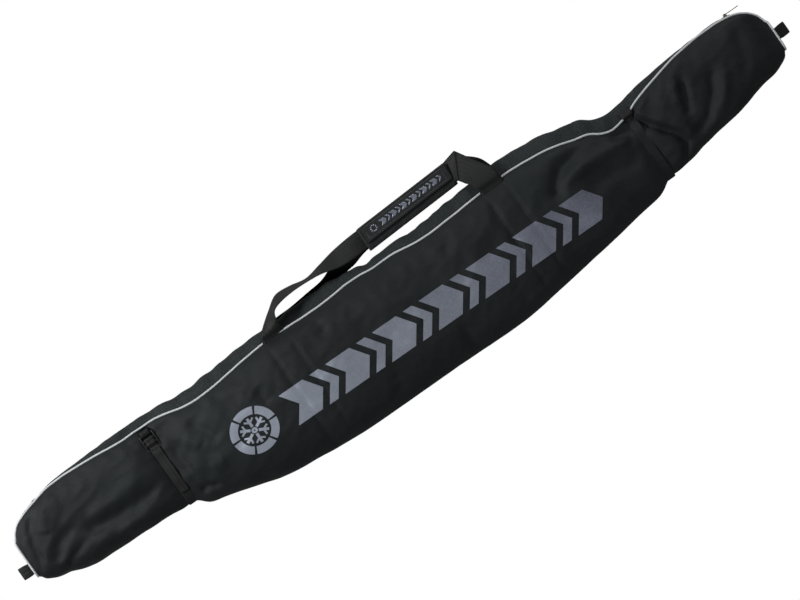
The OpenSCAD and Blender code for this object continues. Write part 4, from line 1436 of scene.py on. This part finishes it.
# Padded wrap round both webbings
grip_x0, grip_x1 = grip_low[0] - 1, grip_high[0] + 1
gx = np.linspace(grip_x0, grip_x1, 90)
WRAP_HALF_W, WRAP_HALF_H, WRAP_Z, WRAP_POWER = 24.4, 6.0, 57.6, 4.2


def wrap_middle(x):
    """The middle of the wrap across the bag, at x."""
    return 147 + TILT * (x - (grip_x0 + grip_x1) / 2)


def wrap_ring(x, half_w, half_h, mid_z, power, count=64, swell=0.0):
    """A ring of the wrap at x: a squared oval, its height uneven by the swell."""
    a = np.linspace(0, 2 * math.pi, count, endpoint=False)
    c, s = np.cos(a), np.sin(a)
    bulge = 1 + swell * (0.6 * np.sin(x * 0.11 + 1.0) + 0.4 * np.sin(x * 0.23 + 2.0 + 2 * a))
    y = wrap_middle(x) + half_w * np.sign(c) * np.abs(c) ** (2 / power)
    z = mid_z + half_h * np.sign(s) * np.abs(s) ** (2 / power) * bulge
    return np.stack([np.full(count, x), y, z], 1)


ends = np.clip(np.minimum(gx - grip_x0, grip_x1 - gx) / 5, 0, 1)
outer = []
for x, e in zip(gx, np.sqrt(ends)):
    half_w, half_h = WRAP_HALF_W - 1.0 * (1 - e), WRAP_HALF_H - 1.9 * (1 - e)
    outer.append(wrap_ring(x, half_w, half_h, WRAP_Z, WRAP_POWER, swell=0.07))
outer = np.array(outer)
inner = np.array([wrap_ring(x, 20.4, 3.9, 55.4, 8) for x in gx])
closed_outer = np.concatenate([outer, outer[:, :1]], axis=1)
closed_inner = np.concatenate([inner, inner[:, :1]], axis=1)
wrap = shell("grip_wrap", closed_outer, closed_inner, arc_uv(closed_outer))
weld(wrap)
finish_piece(wrap, "padding", "front_handle", "padding")
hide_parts("grip_sleeve")


def pad(name, x0, x1, y_of, width, z_of, thick, columns=40, round_by=1.6):
    """A flat padded leaf over the wrap: from its upper edge y_of(x), width wide, rounded at its rim."""
    xs = np.linspace(x0, x1, 110)
    k = np.linspace(0, 1, columns)
    rim_x = np.clip(np.minimum(xs - x0, x1 - xs) / round_by, 0, 1)
    grid, under = [], []
    for x, near_end in zip(xs, rim_x):
        y = y_of(x) - width * k
        rim = np.minimum(np.clip(np.minimum(k, 1 - k) * width / round_by, 0, 1), near_end)
        half = 0.5 * thick * (0.12 + 0.88 * np.sqrt(1 - (1 - rim) ** 2))
        z = np.array([z_of(x, q) for q in y])
        grid.append(np.column_stack([np.full(columns, x), y, z + half]))
        under.append(np.column_stack([np.full(columns, x), y, z - half]))
    grid, under = np.array(grid), np.array(under)
    return shell(name, grid, under, arc_uv(grid)), grid


def wrap_top(x, y):
    """The height of the wrap's upper face at (x, y)."""
    q = min(0.999, abs(y - wrap_middle(x)) / WRAP_HALF_W)
    arch = WRAP_HALF_H * (1 - q**WRAP_POWER) ** (1 / WRAP_POWER)
    return WRAP_Z + arch + 0.35 * math.sin(x * 0.11 + 1.0)


def flap_top_y(x):
    """The upper edge of the leaf at x."""
    return wrap_middle(x) + 22.2


LEAF_W, LEAF_LIFT, LEAF_THICK = 31.5, 2.9, 2.2
for name, down, width, lift, thick, body, node in (
    ("grip_loop_pile", 9, 20, 0.6, 0.9, "front_handle", "grip_loop_strip"),
    ("grip_hook_pile", 12, 17, 1.6, 0.8, "grip_closure", "grip_hook_strip"),
):
    strip, _ = pad(
        name, grip_x0 + 9, grip_x1 - 9, lambda x: flap_top_y(x) - down, width,
        lambda x, y: wrap_top(x, y) + lift, thick)
    finish_piece(strip, "hook_loop", body)
    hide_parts(node)


def leaf_weight(p):
    """How much the leaf turns with the closure: not at its upper edge, which stays on the wrap, fully below a
    short bend.
    """
    return smooth((flap_top_y(p[..., 0]) - p[..., 1] - 4.5) / 7)


leaf, leaf_grid = pad(
    "grip_leaf", grip_x0 + 2, grip_x1 - 2, flap_top_y, LEAF_W,
    lambda x, y: wrap_top(x, y) + LEAF_LIFT, LEAF_THICK)
finish_piece(leaf, "padding")
opens(leaf, leaf_weight)
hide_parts("grip_flap")

# Edge binding round the leaf, its stitches, and a small mark and row of arrows on it
rim = np.concatenate([leaf_grid[::3, 1], leaf_grid[-2, 1::3], leaf_grid[-2::-3, -2], leaf_grid[1, -2::-3]])
binding = tube("grip_binding", rim, 1.15, 8)
finish_piece(binding, "zip_tape")
opens(binding, leaf_weight)
below = 14  # points from the leaf's upper edge to where its side stitches begin
for name, lines, body in (
    ("stitches_leaf_edge", [leaf_grid[6:-6, 5]], "front_handle"),
    ("stitches_leaf", [
        leaf_grid[-7, below:-5], leaf_grid[-7:6:-1, -6], leaf_grid[6, -6:below:-1]], "grip_closure"),
):
    line = np.concatenate(lines) + [0, 0, 0.1]
    spots = spots_on(line, np.tile([0, 0, 1.0], (len(line), 1)), 3.6)
    stitched(name, stitch_short, spots, "grey_thread", body)


def leaf_patch(corners):
    """A thin patch of ink on the leaf, between four corners."""
    flat = patch(*corners, cell=2.5)
    over = LEAF_LIFT + LEAF_THICK / 2 + 0.12
    z = np.vectorize(lambda x, y: wrap_top(x, y) + over)(flat[..., 0], flat[..., 1])
    grid = np.dstack([flat, z])
    return shell("leaf_mark", grid, grid - np.array([0, 0, 0.2]), flat * MM)


def on_ring(r, angle):
    """A place on the leaf's round mark."""
    a = math.radians(angle)
    return 32 + r * math.cos(a), wrap_middle(32) + 6.5 + r * math.sin(a)


small = []
for a in range(0, 360, 40):
    small.append(leaf_patch([on_ring(4.6, a), on_ring(4.6, a + 30), on_ring(7.2, a + 30), on_ring(7.2, a)]))
x = 47
for k in range(12):
    w = 10 if k % 2 == 0 else 4
    y0, y1 = wrap_middle(x) + 12.6, wrap_middle(x) + 0.6
    ym = (y0 + y1) / 2
    small.append(leaf_patch([(x, y0), (x + w, y0), (x + w + 5, ym), (x + 5, ym)]))
    small.append(leaf_patch([(x + 5, ym), (x + w + 5, ym), (x + w, y1), (x, y1)]))
    x += w + 5
small = joined("grip_marks", small)
finish_piece(small, "print", "grip_closure")

# ---------------------------------------------------------------- tail strap with its ladder buckle
def round_strap(x, first_y, grid_rows, lift, thick=1.4):
    """Rows of webbing that follow the body's ring at x; first_y is where the front begins, if it is cut."""
    i = int(np.argmin(np.abs(sewn[:, 0, 0] - x)))
    ring = finer(sewn[i - 2 : i + 3])[4]
    ring_n = finer_normals(i)
    pts, n = ring[grid_rows], ring_n[grid_rows]
    if first_y is not None:
        keep = ~((pts[:, 1] > first_y) & (pts[:, 2] > 40))
        pts, n = pts[keep], n[keep]
    mid = pts + n * (lift + thick / 2)
    mid[:, 0] = x
    mid[:, 2] = np.maximum(mid[:, 2], thick / 2 - 0.2)
    return [(m, np.array([STRAP_W / 2, 0, 0])) for m in mid]


def finer_normals(i):
    """Outward normals of the refined ring at station i."""
    around = np.concatenate([sewn[i - 2 : i + 3], sewn[i - 2 : i + 3, :1]], axis=1)
    fine = finer(around)
    ring = fine[4, :-1]
    t = np.roll(ring, -1, axis=0) - np.roll(ring, 1, axis=0)
    n = normed(np.cross(t, np.array([1.0, 0, 0])))
    return -n if ((ring - ring.mean(axis=0)) * n).sum() < 0 else n


ring_index = np.arange(2 * I_SEAM + 1, 2 * I_BACK - 1)
for name, x, lift, mat, node in (
    ("tail_strap_web", TAIL_STRAP_X, 0.5, "webbing", "tail_strap"),
    ("tip_strap_web", TIP_STRAP_X, 0.2, "cloth", "tip_strap"),
):
    obj = ribbon(name, round_strap(x, 70, ring_index, lift)[::2], 1.5, 3, 9)
    finish_piece(obj, mat, "bag")
    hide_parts(node)

# The loose end of the strap lies on it in two low waves
rows = []
for m, h in round_strap(TAIL_STRAP_X, None, ring_index, 2.4):
    if 52 > m[1] > -54 and m[2] > 40:
        rise = 0.4 + 0.9 * math.sin(max(0, 62 - m[1]) / 16) ** 2
        rows.append((m + np.array([0.6, 0, rise]), h))
strap_end = ribbon("tail_strap_tongue", rows, 1.5, 2, 9)
finish_piece(strap_end, "webbing")
tongue_root = joints["strap_end_lift"]["pos_m"][1] / MM
opens(strap_end, lambda p: smooth((tongue_root + 1 - p[..., 1]) / 9))
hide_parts("tail_strap_end")

buckle_at = np.array(joints["buckle_tilt"]["pos_m"]) / MM
by, bz = buckle_at[1], drape(TAIL_STRAP_X, 60)[0][2] + 4.0
bx = TAIL_STRAP_X


def across(places):
    """Rows of webbing over the buckle, from places (y, z)."""
    return [(np.array([bx, y, z]), np.array([STRAP_W / 2, 0, 0])) for y, z in places]


parts = []
for side in (-1, 1):
    parts.append(block("rail", (bx + side * 13.4, by - 15, bz), (3.2, 33, 4.4), 1.2))
for y, r, dz in ((by, 1.9, 0.2), (by - 10.5, 1.8, 0.4), (by - 19.5, 1.8, 0.4)):
    parts.append(block("bar", (bx, y, bz + dz), (27, 3.8, 3.6), 1.3))
lip = []
for dx, dy, dz in ((-15, -30.0, 0.8), (-9, -32.2, 1.6), (0, -33, 1.9), (9, -32.2, 1.6), (15, -30.0, 0.8)):
    lip.append(((bx + dx, by + dy, bz + dz), (0, 2.6, 0.9)))
parts.append(ribbon("lip", lip, 2.6, 6, 7))
for k in range(5):
    parts.append(block("rib", (bx - 8 + 4 * k, by - 31.4, bz + 3.0), (1.3, 3.6, 1.0), 0.3, 2))
ladder = joined("ladder_buckle", parts)
finish_piece(ladder, "buckle", "buckle")
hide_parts("tail_buckle")

weave = ribbon("buckle_web", across([
    (by - 26, bz - 0.4), (by - 22.6, bz + 1.6), (by - 19.5, bz + 3.3), (by - 15, bz + 2.4),
    (by - 10.5, bz + 3.3), (by - 7.2, bz + 1.2), (by - 6.4, bz - 2.2),
]), 1.4, 5, 9)
finish_piece(weave, "webbing", "buckle")
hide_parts("buckle_weave")

seam_z = drape(bx, by + 10)[0][2]
anchor_rows = across([
    (by + 10, seam_z + 1.4), (by + 4, bz - 3.0), (by - 1.0, bz - 2.4), (by - 2.9, bz + 0.6),
    (by + 1, bz + 3.4), (by + 6, bz + 3.4), (by + 10, seam_z + 3.2),
])
anchor = ribbon("buckle_anchor_web", [(m, -h) for m, h in anchor_rows], 1.4, 5, 9)
finish_piece(anchor, "webbing", "bag")
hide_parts("buckle_anchor")

# ---------------------------------------------------------------- tab of the tip strap
tx = TIP_STRAP_X - 3
i = int(np.argmin(np.abs(front_grid[:, 0, 0] - tx)))
ring = np.concatenate([fg_grid[i, :-1], front_grid[i]])
ring_n = np.concatenate([fg_n[i, :-1], front_n[i]])
at_ring = lengths(ring)
at_ring -= at_ring[fg_grid.shape[1] - 1]


def by_seam(d):
    """A place on the skin at distance d from the front seam, towards the bottom, and its normal."""
    p = np.array([np.interp(d, at_ring, ring[:, k]) for k in range(3)])
    n = np.array([np.mean(np.interp([d - 5, d, d + 5], at_ring, ring_n[:, k])) for k in range(3)])
    return p, n / np.linalg.norm(n)


def over_piping(d):
    """How much higher the tab lies at distance d from the seam, where it goes over the cord."""
    return 4.2 * math.exp(-((d / 7) ** 2))


tab_rows = []
for d in np.linspace(-12, 13, 15):
    at, n = by_seam(d)
    half = 12 * min(1.0, math.sqrt(max(0.03, (13.5 - d) / 8)))
    tab_rows.append((at + n * (1.8 + over_piping(d)), (-half, 0, 0)))
tab = ribbon("tip_tab", tab_rows, 2.2, 3, 11)
finish_piece(tab, "webbing", "bag")
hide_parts("tip_strap_tab")
spots = []
for k in range(4):
    from_seam = -9.5 + 1.4 * k
    at, n = by_seam(from_seam)
    middle = at + n * (3.0 + over_piping(from_seam))
    line = np.array([middle + [dx, 0, 0] for dx in np.linspace(-9, 9, 12)])
    spots += spots_on(line, np.tile(n, (12, 1)), 3.0)
stitched("stitches_tab", stitch_short, spots, "thread", "bag")

# ---------------------------------------------------------------- end loops
for side, name, node, body in (
    (-1, "tail_grab_web", "tail_loop", "tail_grab_loop"),
    (1, "tip_grab_web", "tip_loop", "tip_grab_loop"),
):
    low, high = loop_boxes[side]
    mid_y, w = (low[1] + high[1]) / 2, (high[1] - low[1]) / 2
    near, far = (low[0], high[0]) if side > 0 else (high[0], low[0])
    z0, z1 = low[2] + 1, high[2] - 1
    # From the wall out along the front of the loop, round its far end and back: x, y from the middle, z
    rows = []
    for x, y, z in (
        (near - 3 * side, 0, z1 - 1.5), (near + 4 * side, 0, z1 - 0.6), (near + 12 * side, 0.5, z1 + 0.6),
        (far - 6 * side, 1, z1 + 0.4), (far - 1.5 * side, 1, z1 - 2), (far - 0.6 * side, 1, (z0 + z1) / 2),
        (far - 1.8 * side, 1, z0 + 2), (far - 6 * side, 0.5, z0 - 0.3), (near + 12 * side, 0, z0 - 0.4),
        (near + 4 * side, 0, z0 + 0.4), (near - 3 * side, 0, z0 + 1.0),
    ):
        half = w * (0.9 + 0.1 * min(1, abs(x - near) / 14))
        rows.append(((x, mid_y + y, z), (0, half * side, 0)))
    loop = ribbon(name, rows, 1.8, 5, 11)
    finish_piece(loop, "webbing", body)
    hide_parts(node)
    spots = []
    for k in range(4):
        x = near + side * (2.2 + 1.3 * k)
        line = np.array([[x, mid_y + dy, z1 + 0.55] for dy in np.linspace(-w * 0.8, w * 0.8, 12)])
        spots += spots_on(line, np.tile([0, 0, 1.0], (12, 1)), 2.8)
    stitched(f"stitches_{node}", stitch_short, spots, "thread", body)

# A piece stands for every node of the frame; the nodes themselves get a plain cloth finish
for node in frame["nodes"].values():
    node.data.materials.clear()
    node.data.materials.append(MAT["cloth"])

# ---------------------------------------------------------------- floor, light and camera
scene = bpy.context.scene
scene.view_settings.view_transform = "Standard"
scene.view_settings.look = "None"


def white_where_seen(name, level):
    """White to the camera, soft grey-white to the rest of the scene."""
    m = bpy.data.materials.new(name)
    m.use_nodes = True
    t = m.node_tree
    t.nodes.clear()
    out = t.nodes.new("ShaderNodeOutputMaterial")
    ray = t.nodes.new("ShaderNodeLightPath")
    bright, matt = t.nodes.new("ShaderNodeEmission"), t.nodes.new("ShaderNodeBsdfDiffuse")
    bright.inputs["Strength"].default_value = 1.0
    matt.inputs["Color"].default_value = (level, level, level, 1)
    mix = t.nodes.new("ShaderNodeMixShader")
    t.links.new(ray.outputs["Is Camera Ray"], mix.inputs[0])
    t.links.new(matt.outputs[0], mix.inputs[1])
    t.links.new(bright.outputs[0], mix.inputs[2])
    t.links.new(mix.outputs[0], out.inputs[0])
    return m


FLOOR_HALF, FLOOR_Z = 9000, -1.5
corners = [(FLOOR_HALF * a, FLOOR_HALF * b, FLOOR_Z) for a, b in ((-1, -1), (1, -1), (1, 1), (-1, 1))]
floor = make("floor", corners, [(0, 1, 2, 3)], smooth_shade=False)
floor.data.materials.append(white_where_seen("floor_white", 0.45))

world = bpy.data.worlds.new("world")
scene.world = world
world.use_nodes = True
bg = world.node_tree.nodes["Background"]
ray = world.node_tree.nodes.new("ShaderNodeLightPath")
mix = world.node_tree.nodes.new("ShaderNodeMix")
mix.inputs["A"].default_value = 0.2
mix.inputs["B"].default_value = 1.0
world.node_tree.links.new(ray.outputs["Is Camera Ray"], mix.inputs["Factor"])
world.node_tree.links.new(mix.outputs["Result"], bg.inputs["Strength"])
bg.inputs["Color"].default_value = (1, 1, 1, 1)


def lamp(name, at, size, power):
    """A square lamp that shines at the middle of the bag."""
    data = bpy.data.lights.new(name, "AREA")
    data.size = size
    data.energy = power
    obj = placed(name, data)
    obj.location = at
    obj.rotation_mode = "QUATERNION"
    obj.rotation_quaternion = (-Vector(at)).to_track_quat("-Z", "Y")


lamp("key", (-2.2, 1.3, 1.4), 0.6, 60)
lamp("fill", (0.6, -1.6, 2.0), 1.6, 7)
lamp("rim", (1.2, 1.7, 0.8), 0.8, 14)

# The camera looks straight down: how high it stands, how much it sees at the height of the seams,
# how far the bag lies turned in the view
SENSOR, EYE_Z, SEEN_WIDTH, SEAM_Z, VIEW_TURN = 36, 6.0, 1.504, 0.055, -34.9
camera = bpy.data.cameras.new("camera")
camera.sensor_width = SENSOR
camera.lens = SENSOR * (EYE_Z - SEAM_Z) / SEEN_WIDTH
camera.clip_start, camera.clip_end = 0.1, 50
eye = placed("camera", camera)
eye.location = (-0.005, 0.011, EYE_Z)
eye.rotation_euler = (0, 0, math.radians(VIEW_TURN))
scene.camera = eye
